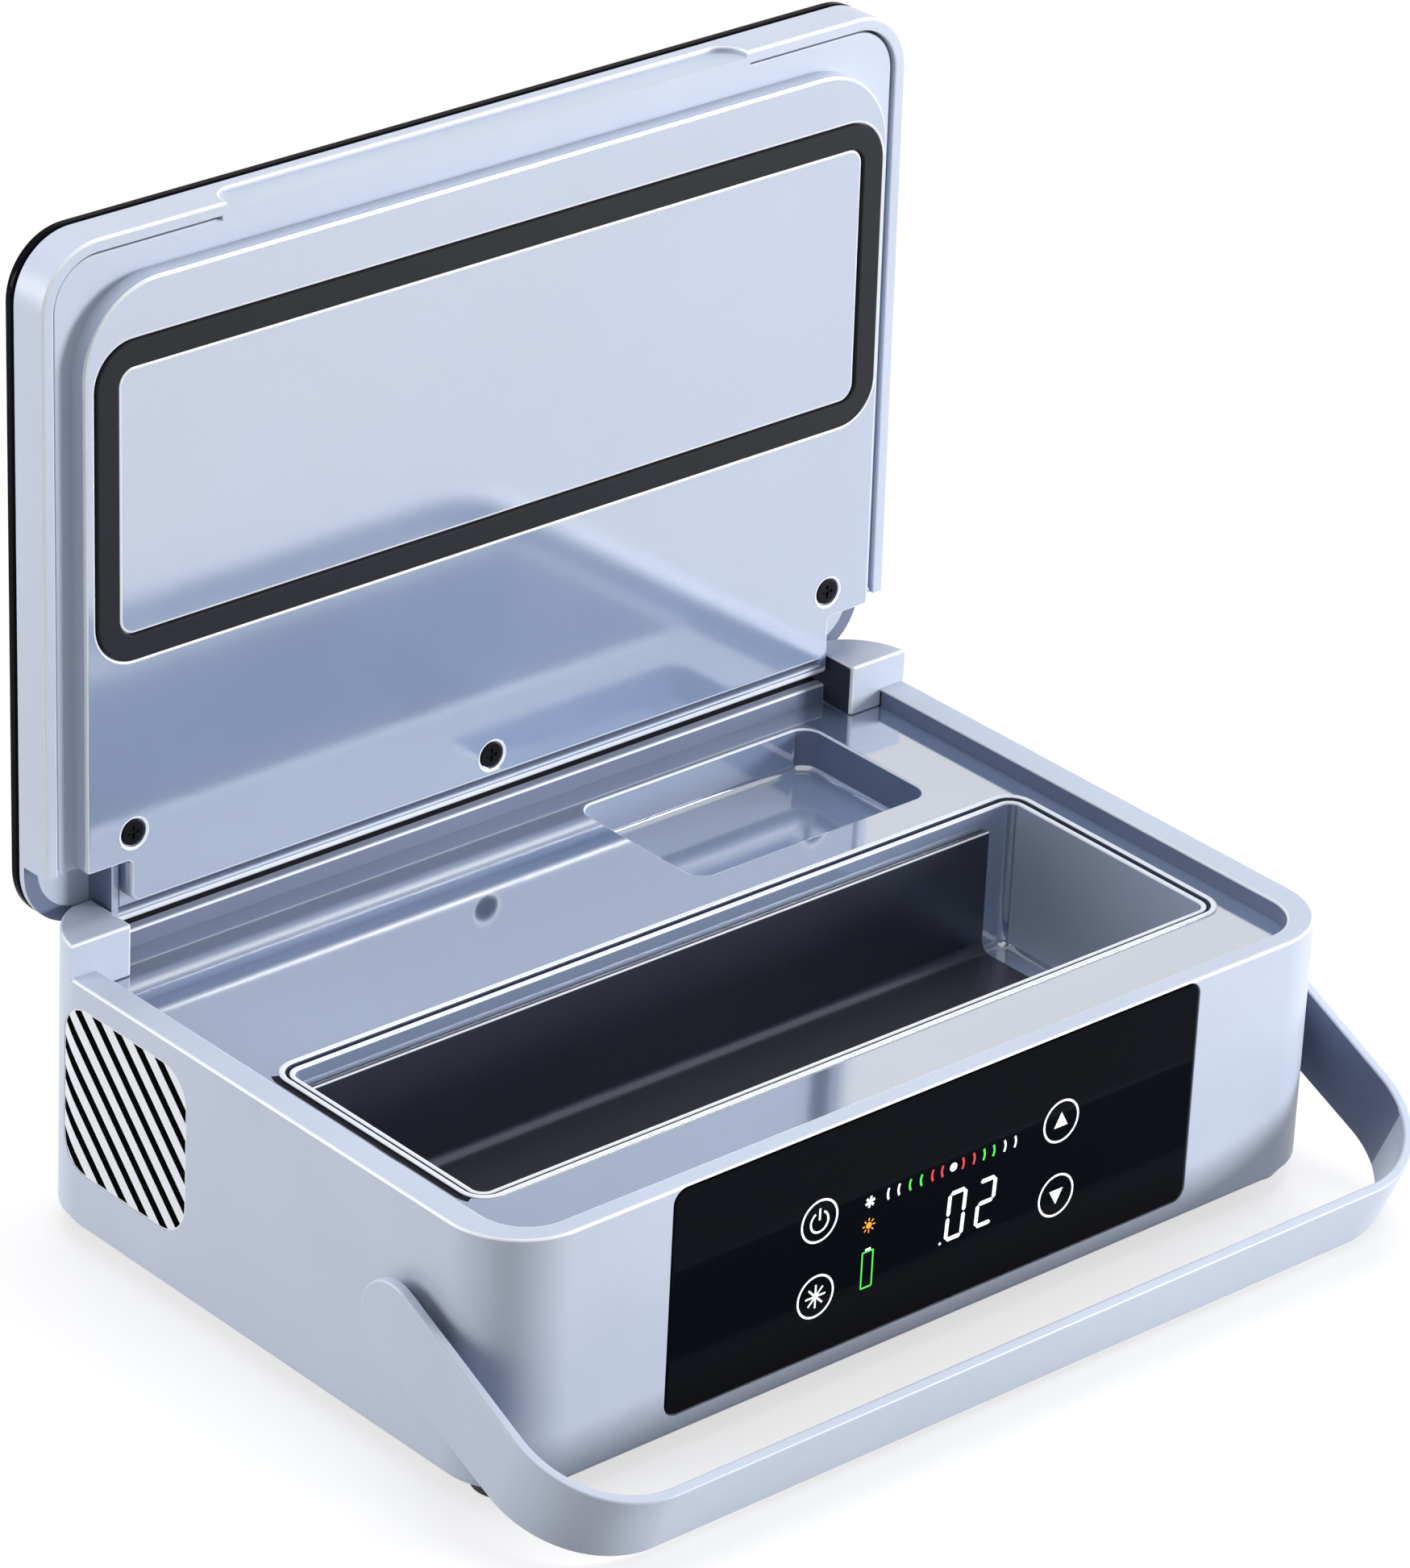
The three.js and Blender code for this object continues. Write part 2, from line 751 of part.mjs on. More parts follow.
function sensorBlock(clearance) {
  const y = (lip.front + lip.back) / 2;
  const x = right - sensorRightInset;
  const halfWidth = sensorWidth / 2 + clearance;
  const halfLength = sensorLength / 2 + clearance;
  return block(
    x - halfWidth, x + halfWidth, y - halfLength, y + halfLength,
    tubBottom - gap - sensorThickness - clearance, tubBottom - gap + clearance,
  );
}

function insulationFoam() {
  const side = tubInset - gap - foamSide;
  const y0 = lip.front + tubInset - gap - foamFront;
  const shape = outline(lip.left + side, lip.right - side, y0, foamRear, foamCorner);
  const body = upright(shape, coverTop + gap, flangeBottom - gap);
  const cavity = upright(lipOutline(tubInset - gap), tubBottom - gap, flangeBottom + overrun);
  const foam = cut(body, cavity, coldBlockHole(), sensorBlock(gap));
  return piece('insulation_foam', foam, whiteFoam());
}

// Cooling stack behind the chamber: thermoelectric module, finned heat sink and fan
function peltierModule() {
  const half = coolerSize / 2;
  const body = block(
    coolerX - half, coolerX + half, coolerFront, coolerBack, coolerMiddle - half, coolerMiddle + half,
  );
  return piece('peltier_module', body, finish(0xe6e4de, 0.6));
}

function heatSink() {
  const z0 = coolerMiddle - sinkHeight / 2;
  const finStart = sinkFront + sinkBase;
  const base = block(sinkLeft, sinkRight, sinkFront, finStart, z0, z0 + sinkHeight);
  const fins = Array.from({ length: finCount }, (unused, index) => {
    const z = z0 + index * (sinkHeight - finThickness) / (finCount - 1);
    return block(sinkLeft, sinkRight, finStart - gap, finStart + finDepth, z, z + finThickness);
  });
  return piece('heat_sink', join(base, ...fins), bareMetal());
}

function fanFrame() {
  const half = fanSize / 2;
  const shape = outline(fanY - half, fanY + half, fanZ - half, fanZ + half, fanCorner);
  const bore = rodX(fanBore, fanY, fanZ, fanOuter - overrun, fanInner + overrun);
  const mountOffset = half - fanMountInset;
  const mounts = sides.flatMap((sideY) => sides.map((sideZ) => rodX(
    fanMountHole, fanY + sideY * mountOffset, fanZ + sideZ * mountOffset,
    fanOuter - overrun, fanInner + overrun, smallRodSides,
  )));
  const ring = cut(across(shape, fanOuter, fanInner), bore, ...mounts);
  const plateX = fanInner - fanStrut;
  const motorPlate = rodX(fanHub, fanY, fanZ, plateX, fanInner);
  const level = block(
    plateX, fanInner, fanY - fanBore - gap, fanY + fanBore + gap, fanZ - fanStrut / 2, fanZ + fanStrut / 2,
  );
  const plumb = block(
    plateX, fanInner, fanY - fanStrut / 2, fanY + fanStrut / 2, fanZ - fanBore - gap, fanZ + fanBore + gap,
  );
  const shaftEnd = fanOuter + fanRotorInset + fanHubSkin / 2 + gap;
  const shaft = rodX(fanShaft, fanY, fanZ, shaftEnd, fanInner, smallRodSides);
  return piece('fan_frame', join(ring, motorPlate, level, plumb, shaft), blackPlastic());
}

function fanBlade(index) {
  const spread = Math.asin(bladeChord / 2 / bladeCurve);
  const shape = new THREE.Shape([
    ...arc(0, -bladeCurve, bladeCurve + bladeThickness / 2, Math.PI / 2 - spread, Math.PI / 2 + spread),
    ...arc(0, -bladeCurve, bladeCurve - bladeThickness / 2, Math.PI / 2 + spread, Math.PI / 2 - spread),
  ]);
  const root = fanHub - fanHubSkin / 2;
  const depth = fanBore - bladeTipGap - root;
  const geometry = new THREE.ExtrudeGeometry(shape, { depth, bevelEnabled: false });
  geometry.rotateZ(bladePitch);
  geometry.translate(0, 0, root);
  geometry.rotateX(index * 2 * Math.PI / bladeCount);
  geometry.translate(fanOuter + fanDepth / 2 - fanStrut / 2, fanY, fanZ);
  return solid(geometry);
}

function fanRotor() {
  const outer = fanOuter + fanRotorInset;
  const inner = fanInner - fanStrut - gap;
  const cup = cut(
    rodX(fanHub, fanY, fanZ, outer, inner),
    rodX(fanHub - fanHubSkin, fanY, fanZ, outer + fanHubSkin, inner + overrun),
  );
  const blades = Array.from({ length: bladeCount }, (unused, index) => fanBlade(index));
  const bush = rodX(fanBush, fanY, fanZ, outer + fanHubSkin / 2, inner, smallRodSides);
  const bore = rodX(
    fanShaft + gap, fanY, fanZ, outer + fanHubSkin / 2, inner + overrun, smallRodSides,
  );
  return piece('fan_rotor', cut(join(cup, bush, ...blades), bore), blackPlastic());
}

// Battery: three cells in a cradle whose end walls carry the main board
function cellY(index) {
  return cellFirstY + index * cellPitch;
}

function batteryHolder() {
  const cellLeft = holderLeft + holderEnd + cellEndGap;
  const cradle = block(
    holderLeft, holderRight, holderFront, holderBack, holderBottom, cellZ - cradleDrop,
  );
  const endWalls = [holderLeft, holderRight - holderEnd].map((x) => (
    block(x, x + holderEnd, holderFront, holderBack, holderBottom, holderTop)
  ));
  const contactEnds = [
    [holderLeft, cellLeft - gap],
    [cellLeft + cellLength + cellCapHeight + gap, holderRight],
  ];
  const cells = Array.from({ length: cellCount }, (unused, index) => cellY(index));
  const beds = cells.map((y) => (
    rodX(cellRadius + gap, y, cellZ, holderLeft + holderEnd, holderRight - holderEnd)
  ));
  const contacts = cells.flatMap((y) => contactEnds.map(([x0, x1]) => (
    rodX(cellCap, y, cellZ, x0, x1, smallRodSides)
  )));
  const body = join(cut(join(cradle, ...endWalls), ...beds), ...contacts);
  return piece('battery_holder', body, blackPlastic());
}

function batteryCell(index) {
  const x0 = holderLeft + holderEnd + cellEndGap;
  const x1 = x0 + cellLength;
  const can = rodX(cellRadius, cellY(index), cellZ, x0, x1);
  const cap = rodX(cellCap, cellY(index), cellZ, x1 - gap, x1 + cellCapHeight, smallRodSides);
  return piece(`battery_cell_${index + 1}`, join(can, cap), finish(0x2f6fb3, 0.4));
}

function mainBoard() {
  const root = boardTop - gap;
  const x0 = holderLeft + partInset;
  const y0 = holderFront + partInset;
  const plate = block(holderLeft, holderRight, holderFront, holderBack, boardBottom, boardTop);
  const transformer = block(
    x0, x0 + transformerSize, y0, y0 + transformerSize, root, boardTop + transformerHeight,
  );
  const chips = [1, 2].map((place) => {
    const x = x0 + transformerSize + place * (chipSize + partInset) - chipSize;
    return block(x, x + chipSize, y0, y0 + chipSize, root, boardTop + chipHeight);
  });
  const capacitors = [0, 1, 2].map((place) => rodZ(
    capacitorRadius, x0 + place * capacitorPitch, y0 + transformerSize + partInset,
    root, boardTop + capacitorHeight, smallRodSides,
  ));
  return piece('main_board', join(plate, transformer, ...chips, ...capacitors), greenBoard());
}

function dcInlet() {
  const bodyBack = wallBack - gap;
  const bodyFront = bodyBack - inletDepth;
  const boreFront = back - inletBoreDepth;
  const half = inletSize / 2;
  const body = block(
    inletX - half, inletX + half, bodyFront, bodyBack, inletZ - half, inletZ + half,
  );
  const nose = rodY(inletNose, inletX, inletZ, bodyFront + gap, back);
  const bore = rodY(inletBore, inletX, inletZ, boreFront, back + overrun);
  const pin = rodY(inletPin, inletX, inletZ, bodyFront + gap, back - inletPinInset, smallRodSides);
  return piece('dc_inlet', join(cut(join(body, nose), bore), pin), blackPlastic());
}

function temperatureSensor() {
  return piece('temperature_sensor', sensorBlock(0), blackPlastic());
}

// Front panel: glossy lens, display, touch pads and the board that carries them
function displayLens() {
  const x = lensWidth / 2;
  const body = inwards(outline(-x, x, lensBottom, lensTop, lensCorner), front, lensBack);
  return piece('display_lens', body, glossBlack());
}

function ledDisplay() {
  const x = displayWidth / 2;
  const z = lensBottom + displayRise;
  const body = block(-x, x, lensBack + gap, panelPostEnd, z, z + displayHeight);
  return piece('led_display', body, blackPlastic());
}

function displayBoard() {
  const x = lensWidth / 2;
  const y = panelPostEnd + gap;
  const body = block(-x, x, y, y + boardThickness, lensBottom, deckBottom - 2 * gap);
  return piece('display_board', body, greenBoard());
}

function touchPads() {
  return Object.entries(keyPlaces).map(([name, [x, z]]) => (
    piece(name, rodY(keyRadius, x, z, lensBack + gap, panelPostEnd, smallRodSides), sealGrey())
  ));
}

function hingePin(side, name) {
  const x0 = side * (notchX - lidEar);
  const x1 = side * (postInner + hingePinInPost);
  return piece(name, rodX(hingePinRadius, hingeY, hingeZ, x0, x1, smallRodSides), bareMetal());
}

// Lid: skirt with ears round the hinge pins, finger recess, liner, gasket, foam and top plate
function notch(side, x, y, bottom, top) {
  return sideBlock(side, x, right + overrun, y, back + overrun, bottom, top);
}

function swingOutline() {
  const y = back - lidSwingRound;
  return new THREE.Shape([
    new THREE.Vector2(front, lidBottom),
    ...arc(y, lidBottom + lidSwingRound, lidSwingRound, -Math.PI / 2, 0),
    new THREE.Vector2(back, lidTop),
    new THREE.Vector2(front, lidTop),
  ]);
}

function recessOutline(outset) {
  const x = recessLength / 2 + outset;
  const z = lidBottom + recessHeight + outset;
  return outline(-x, x, lidBottom - recessHeight, z, recessCorner + outset);
}

function recessBump(clearance) {
  const shape = recessOutline(recessBacking + clearance);
  const y1 = front + lidRim + recessBacking + clearance;
  const body = inwards(shape, front + lidRim / 2, y1);
  return body.intersect(block(left, right, front, y1, lidBottom, lidRoof));
}

function lidBoss([x, y]) {
  const hole = lidScrewShank + gap;
  const holeTop = plateauBottom + lidScrewSeat + lidScrewLength + gap;
  return cut(
    rodZ(hole + lidBossWall, x, y, plateauTop + gap, lidRoof + gap, smallRodSides),
    rodZ(hole, x, y, plateauTop, holeTop, smallRodSides),
  );
}

function lidShell() {
  const body = upright(caseOutline(0, lidCorner), lidBottom, lidTop, edgeRound);
  const cavity = upright(caseOutline(lidRim, lidCorner), lidBottom - overrun, lidRoof);
  const notches = sides.map((side) => notch(side, notchX, notchY, lidBottom - overrun, lidRoof));
  const ears = sides.map((side) => sideBlock(
    side, notchX - lidEar, notchX, notchY + gap, back, lidBottom, lidRoof + gap,
  ));
  const pinHoles = sides.map((side) => rodX(
    hingePinRadius + gap, hingeY, hingeZ, side * tongueX, side * postInner, smallRodSides,
  ));
  const recess = inwards(recessOutline(0), front - overrun, front + recessDepth);
  const walls = join(cut(body, cavity, ...notches), ...ears, recessBump(0));
  const trimmed = walls.intersect(across(swingOutline(), left, right));
  const shell = join(cut(trimmed, recess, ...pinHoles), ...lidScrewPlaces.map(lidBoss));
  return piece('lid_shell', shell, satinBlue());
}

function plateauOutline(inset) {
  const x = right - plateauSide - inset;
  const y0 = front + plateauFront + inset;
  return outline(-x, x, y0, tongueBack - inset, plateauCorner - inset, tongueCorner - inset);
}

function tongueProfile() {
  const y = tongueBack - tongueRound;
  return new THREE.Shape([
    new THREE.Vector2(front, plateauBottom),
    ...arc(y, plateauBottom + tongueRound, tongueRound, -Math.PI / 2, 0),
    new THREE.Vector2(tongueBack, lidTop),
    new THREE.Vector2(front, lidTop),
  ]);
}

function gasketOutline(inset) {
  const x0 = lip.left - gasketLeftOverhang + inset;
  const x1 = lip.right + gasketRightOverhang - inset;
  const y0 = lip.front - gasketFrontOverhang + inset;
  const y1 = lip.back + gasketBackOverhang - inset;
  return outline(x0, x1, y0, y1, gasketCorner - inset);
}

function screwPocket([x, y]) {
  const pocket = lidScrewHead + gap;
  const height = 2 * lidScrewChamfer;
  const chamfer = new THREE.CylinderGeometry(pocket, pocket + height, height, rodSides);
  chamfer.rotateX(Math.PI / 2);
  chamfer.translate(x, y, plateauBottom);
  return join(
    solid(chamfer),
    rodZ(pocket, x, y, plateauBottom - overrun, plateauBottom + lidScrewSeat),
    rodZ(lidScrewShank + gap, x, y, plateauBottom, plateauTop + overrun, smallRodSides),
  );
}

function lidLiner() {
  const ledgeInset = lidRim + ledgeGap;
  const ledge = upright(caseOutline(ledgeInset, lidCorner), ledgeBottom, ledgeTop);
  const plateau = upright(plateauOutline(0), plateauBottom, ledgeTop);
  const wallOuter = right - lidRim - gap;
  const notchWalls = sides.map((side) => sideBlock(
    side, tongueX - plateauWall, wallOuter, notchY - plateauWall, notchY, ledgeBottom, lidRoof - gap,
  ));
  const notches = sides.map((side) => (
    notch(side, tongueX, notchY, plateauBottom - overrun, ledgeTop + overrun)
  ));
  const solidSides = sides.map((side) => (
    notch(side, tongueX - plateauWall, notchY - plateauWall, plateauBottom, ledgeTop + overrun)
  ));
  const hollow = cut(
    upright(plateauOutline(plateauWall), plateauTop, ledgeTop + overrun),
    ...solidSides,
  );
  const groove = cut(
    upright(gasketOutline(-gap), plateauBottom - overrun, plateauBottom + gasketGroove),
    upright(gasketOutline(gasketWidth + gap), plateauBottom - overrun, plateauTop),
  );
  const face = join(ledge, plateau.intersect(across(tongueProfile(), left, right)));
  const body = cut(
    face, ...notches, hollow, groove, recessBump(gap), ...lidScrewPlaces.map(screwPocket),
  );
  return piece('lid_liner', join(body, ...notchWalls), glossBlue());
}

function lidGasket() {
  const top = plateauBottom + gasketGroove - gap;
  const bottom = plateauBottom - gasketProud;
  const body = cut(
    upright(gasketOutline(0), bottom, top),
    upright(gasketOutline(gasketWidth), bottom - overrun, top + overrun),
  );
  return piece('lid_gasket', body, sealGrey());
}

function lidFoam() {
  const inset = plateauWall + lidFoamInset;
  const x = right - plateauSide - inset;
  const y0 = front + plateauFront + inset;
  const shape = outline(-x, x, y0, hingeY - lidFoamHingeGap, plateauCorner - inset);
  return piece('lid_foam', upright(shape, plateauTop + gap, lidRoof - gap), whiteFoam());
}

function lidScrews() {
  const seat = plateauBottom + lidScrewSeat - gap;
  return lidScrewPlaces.map(([x, y], index) => piece(`lid_screw_${index + 1}`, join(
    rodZ(lidScrewHead, x, y, seat - lidScrewHeadHeight, seat),
    rodZ(lidScrewShank, x, y, seat - lidScrewHeadHeight, seat + lidScrewLength, smallRodSides),
  ), blackPlastic()));
}

function lidTopPlate() {
  const bottom = lidTop + gap;
  const top = bottom + lidPlateThickness;
  const body = upright(caseOutline(0, lidCorner), bottom, top, lidPlateRound);
  return piece('lid_top_plate', body, glossBlack());
}

// Handle: a flat strap bent into a U, on two stubs that turn in the side walls.
// It is described level, with its pivot at the origin and its bar to the front.
function strapOutline() {
  const quarter = Math.PI / 2;
  const bendX = handleOuter - handleCorner;
  const bendY = handleCorner - handleReach;
  const inner = handleCorner - handleThickness;
  return new THREE.Shape([
    ...arc(-bendX, bendY, handleCorner, 2 * quarter, 3 * quarter),
    ...arc(bendX, bendY, handleCorner, 3 * quarter, 4 * quarter),
    new THREE.Vector2(handleOuter, handleEndRadius),
    new THREE.Vector2(handleInner, handleEndRadius),
    ...arc(bendX, bendY, inner, 4 * quarter, 3 * quarter),
    ...arc(-bendX, bendY, inner, 3 * quarter, 2 * quarter),
    new THREE.Vector2(-handleInner, handleEndRadius),
    new THREE.Vector2(-handleOuter, handleEndRadius),
  ]);
}

function strapProfile() {
  return new THREE.Shape([
    ...arc(0, handleEndRise, handleEndRadius, -Math.PI / 2, Math.PI / 2, 2 * arcSteps),
    new THREE.Vector2(-handleReach, handleBarWidth / 2),
    new THREE.Vector2(-handleReach, -handleBarWidth / 2),
  ]);
}

function handleStrap() {
  const bend = upright(strapOutline(), -handleBarWidth, handleBarWidth);
  const strap = bend.intersect(across(strapProfile(), -handleOuter, handleOuter));
  const seats = sides.map((side) => rodX(
    pivotSpigot + gap, 0, 0, side * (handleInner - overrun), side * (handleInner + pivotSeat + gap),
    smallRodSides,
  ));
  return piece('handle', cut(strap, ...seats), satinBlue());
}

function handlePivot(side, name) {
  const flangeOuter = handleInner - gap;
  const groove = cut(
    rodX(pivotFlange, 0, 0, side * (clipInner - gap), side * (clipOuter + gap), smallRodSides),
    rodX(pivotRadius - clipGroove, 0, 0, side * (clipInner - overrun), side * right, smallRodSides),
  );
  const body = join(
    rodX(pivotRadius, 0, 0, side * (clipInner - pivotTail), side * flangeOuter, smallRodSides),
    rodX(pivotFlange, 0, 0, side * (right + gap), side * flangeOuter),
    rodX(pivotSpigot, 0, 0, side * right, side * (handleInner + pivotSeat), smallRodSides),
  );
  return piece(name, cut(body, groove), finish(0xc7cad2, 0.5));
}

function handleClip(side, name) {
  const bore = pivotRadius - clipGroove + gap;
  const mouth = sideBlock(
    side, clipInner - overrun, clipOuter + overrun, -clipMouth / 2, clipMouth / 2, -clipRadius, 0,
  );
  const body = cut(
    rodX(clipRadius, 0, 0, side * clipInner, side * clipOuter),
    rodX(bore, 0, 0, side * (clipInner - overrun), side * (clipOuter + overrun), smallRodSides),
    mouth,
  );
  return piece(name, body, bareMetal());
}

// Assembly
function caseGroup() {
  const group = new THREE.Group();
  group.add(baseShell(), bottomCover(), ...feet(), ...baseScrews(), topDeck());
  group.add(chamberLiner(), coldPlate(), coldBlock(), insulationFoam(), temperatureSensor());
  group.add(peltierModule(), heatSink(), fanFrame(), fanRotor());
  group.add(batteryHolder(), ...[0, 1, 2].map(batteryCell), mainBoard(), dcInlet());
  group.add(displayLens(), ledDisplay(), displayBoard(), ...touchPads());
  group.add(hingePin(-1, 'hinge_pin_left'), hingePin(1, 'hinge_pin_right'));
  return group;
}

function lidGroup() {
  const closed = new THREE.Group();
  closed.add(lidShell(), lidLiner(), lidGasket(), lidFoam(), ...lidScrews(), lidTopPlate());
  closed.position.set(0, -hingeY, -hingeZ);
  const hinge = new THREE.Group();
  hinge.add(closed);
  hinge.position.set(0, hingeY, hingeZ);
  hinge.rotation.x = -openAngle;
  return hinge;
}

function handleGroup() {
  const group = new THREE.Group();
  group.add(handleStrap());
  group.add(handlePivot(-1, 'handle_pivot_left'), handlePivot(1, 'handle_pivot_right'));
  group.add(handleClip(-1, 'handle_clip_left'), handleClip(1, 'handle_clip_right'));
  group.position.set(0, pivotY, pivotZ);
  group.rotation.x = handleDrop;
  return group;
}

function insulinCoolingCase() {
  const group = new THREE.Group();
  group.add(caseGroup(), lidGroup(), handleGroup());
  const centre = new THREE.Box3().setFromObject(group, true).getCenter(new THREE.Vector3());
  group.position.set(-centre.x, -centre.y, 0);
  return group;
}

export default insulinCoolingCase();
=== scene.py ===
# Insulin cooling case: the visual model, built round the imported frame.
# Shapes are drawn in millimetres about the case's centre, and placed in metres at the end.

import math

import bmesh
import bpy
from mathutils import Matrix, Vector


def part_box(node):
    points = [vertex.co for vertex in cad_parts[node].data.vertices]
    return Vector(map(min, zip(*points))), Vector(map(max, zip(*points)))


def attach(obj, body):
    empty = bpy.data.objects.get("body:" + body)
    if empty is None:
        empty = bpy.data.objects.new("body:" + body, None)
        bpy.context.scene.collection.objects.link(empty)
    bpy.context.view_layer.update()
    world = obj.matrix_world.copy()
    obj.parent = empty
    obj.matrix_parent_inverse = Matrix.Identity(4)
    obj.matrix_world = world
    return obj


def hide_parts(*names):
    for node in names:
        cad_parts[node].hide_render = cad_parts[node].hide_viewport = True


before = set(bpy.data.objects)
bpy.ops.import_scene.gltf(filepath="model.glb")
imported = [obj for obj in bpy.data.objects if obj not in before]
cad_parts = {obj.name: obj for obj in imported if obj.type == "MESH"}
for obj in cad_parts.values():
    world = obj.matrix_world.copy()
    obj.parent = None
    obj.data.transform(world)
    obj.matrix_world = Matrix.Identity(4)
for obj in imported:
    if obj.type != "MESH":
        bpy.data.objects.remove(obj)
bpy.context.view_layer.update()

MM = 0.001
QUARTER = math.pi / 2
SIDES = (-1, 1)
CORNER_STEPS = 16
ROUND_STEPS = 5
LEAST_RADIUS = 0.05
WELD = 0.0005
BEVEL_ANGLE = math.radians(40)
SHARP_ANGLE = math.radians(35)
GAP = 0.3  # between a part and its neighbour
BEYOND = 1  # how far a cutter reaches past what it cuts
SEAM = 0.02  # a step too small to see

# Case
LEFT, RIGHT = -115.0, 115.0
FRONT, BACK = -76.75, 76.75
CASE_CORNER = 17.0
WALL = 2.6
SHELL_BOTTOM, SHELL_CHAMFER = 5.2, 0.4
RIM_TOP = 61.4
RIM_SIDE, RIM_FRONT, RIM_BACK, RIM_CORNER = 108.2, FRONT + 4.7, BACK - 5.9, 11.0
RIM_FLAT, RIM_ROUND, MOUTH_ROUND = 2.4, 0.7, 0.6
RETURN_WIDTH, RETURN_HEIGHT = 1.8, 2.2
SCREW_X, SCREW_Y = 102.95, 64.70
INLET_X, INLET_Z, INLET_RADIUS = 83.0, 34.7, 4.2
LENS_BOX = (-71.7, 71.7, 8.8, 60.6, 3.0)  # left, right, low, high and corner

# Hinge and its posts
HINGE_Y, HINGE_Z = 74.4, 66.6
HINGE_ROUND = 2.35
POST_INNER, POST_FRONT = 99.4, 61.5
POST_TOP = HINGE_Z + HINGE_ROUND
POST_CORNER, POST_EDGE, POST_STEPS = 1, 0.6, 12

# Vent: slanted slots in a shallow pocket
VENT_Y, VENT_Z = FRONT + 99.95, 17.5
VENT_WIDTH, VENT_HEIGHT, VENT_CORNER = 40.8, 38.3, 8.0
VENT_STEP, VENT_MARGIN = 0.08, 0.3
SLOT_COUNT, SLOT_PITCH, SLOT_HALF, SLOT_SHIFT = 10, 4.97, 1.12, 0.85
SLOT_TURN = math.radians(45.8)
SLOT_LEAST = 0.25

# Deck, chamber and tray
DECK_TOP, DECK_BOTTOM, DECK_INSET = 57.1, 54.9, 2.9
LIP_LEFT, LIP_RIGHT, LIP_FRONT, LIP_BACK, LIP_CORNER = -101.8, 104.0, -52.8, 14.0, 6.0
LIP_TOP, LIP_WIDTH, LIP_BORDER, LIP_ROUND = 57.5, 1.3, 1.6, 0.25
TRAY_LEFT, TRAY_RIGHT, TRAY_FRONT, TRAY_BACK, TRAY_CORNER = 22.3, 88.7, 23.9, 63.8, 4.4
TRAY_DEPTH, TRAY_WALL = 10.0, 1.8
TUB_TOP, TUB_BOTTOM, TUB_FLOOR = 57.1, 19.9, 21.9
TUB_OUTSIDE, TUB_INSIDE = 1.8, 3.4  # inwards from the lip
BEAD = 0.4
PLATE_LEFT, PLATE_RIGHT, PLATE_FRONT, PLATE_BACK = -95.8, 92.8, -48.4, 10.3
PLATE_BOTTOM, PLATE_TOP, PLATE_THICK, PLATE_BEND = 22.2, 52.7, 1.5, 4

# Underside
COVER_BOTTOM, COVER_TOP = 3.2, 4.9
FOOT_RADIUS = 7.0
INTAKE_COUNT, INTAKE_X, INTAKE_PITCH, INTAKE_HALF = 12, -43.05, 6, 1.3

# Lid, drawn closed
LID_BOTTOM = 61.7
LID_TOP = 71.4
LID_ROOF = 69.5
LID_CORNER = 14.0
LID_RIM = 2.9
LID_FOOT_ROUND, LID_TOP_ROUND = 0.7, 0.6
NOTCH_X, NOTCH_Y = 98.6, 60.7
NOTCH_WALL = 1.2
EAR = 1.7
GRIP_SIDE, GRIP_HEIGHT, GRIP_CORNER, GRIP_WALL = 69.0, 6.4, 5.5, 1.1
LEDGE_BOTTOM, LEDGE_TOP, LEDGE_INSET = 62.6, 64.1, 3.6
PLATEAU_BOTTOM = 58.3
PLATEAU_SIDE, PLATEAU_FRONT, PLATEAU_CORNER = 107.3, FRONT + 9.5, 19
TONGUE_X, TONGUE_BACK, TONGUE_CORNER = 95.9, 70.4, 2.2
STEP_CORNER = 1.0  # where the raised face narrows to its tongue
SEAL_BOX = (-104.5, 105.9, -54.8, 15.2, 9.5)  # left, right, front, back and corner
SEAL_WIDTH = 5.6
TOP_PLATE = 2.3
LID_SCREWS = ((-95.3, 54.5), (95.3, 54.5), (0.0, 65.6))
OPEN_ANGLE = math.radians(91.2)

# Handle, drawn level about its pivot
PIVOT_Y, PIVOT_Z = -48.6, 33.8
HANDLE_INNER, HANDLE_OUTER = 118.0, 120.3
HANDLE_REACH = 62.2
HANDLE_CORNER = 24.0
HANDLE_END, HANDLE_RISE = 9.3, 1.2
HANDLE_WIDTH = 17.2
HANDLE_DROP = math.radians(23.5)

# Rods along x: radius, near and far end from the middle, round of the edge
HINGE_PIN = (1.1, 96.9, 102.6, 0.2)
PIVOT_WASHER = (7.0, 115.3, 117.7, 0.4)
PIVOT_STUB = (4.0, 109.3, 117.4, 0.3)
PIVOT_PIN = (3.0, 116.0, 119.0, 0.2)

# Where the drawings stand in the row frame
shift_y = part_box("display_lens")[0][1] / MM - FRONT
to_row = Matrix.Scale(MM, 4) @ Matrix.Translation((0, shift_y, 0))
hinge_point = Vector((0, HINGE_Y, HINGE_Z))
pivot_point = Vector((0, PIVOT_Y, PIVOT_Z))
opened = Matrix.Rotation(-OPEN_ANGLE, 4, "X")
lowered = Matrix.Rotation(HANDLE_DROP, 4, "X")
PLACES = {
    "case": to_row,
    "lid": to_row @ Matrix.Translation(hinge_point) @ opened @ Matrix.Translation(-hinge_point),
    "handle": to_row @ Matrix.Translation(pivot_point) @ lowered,
}


# Outlines: lists of points in a plane
def arc(x, y, radius, start, end, steps=CORNER_STEPS):
    turns = [start + (end - start) * i / steps for i in range(steps + 1)]
    return [(x + radius * math.cos(a), y + radius * math.sin(a)) for a in turns]


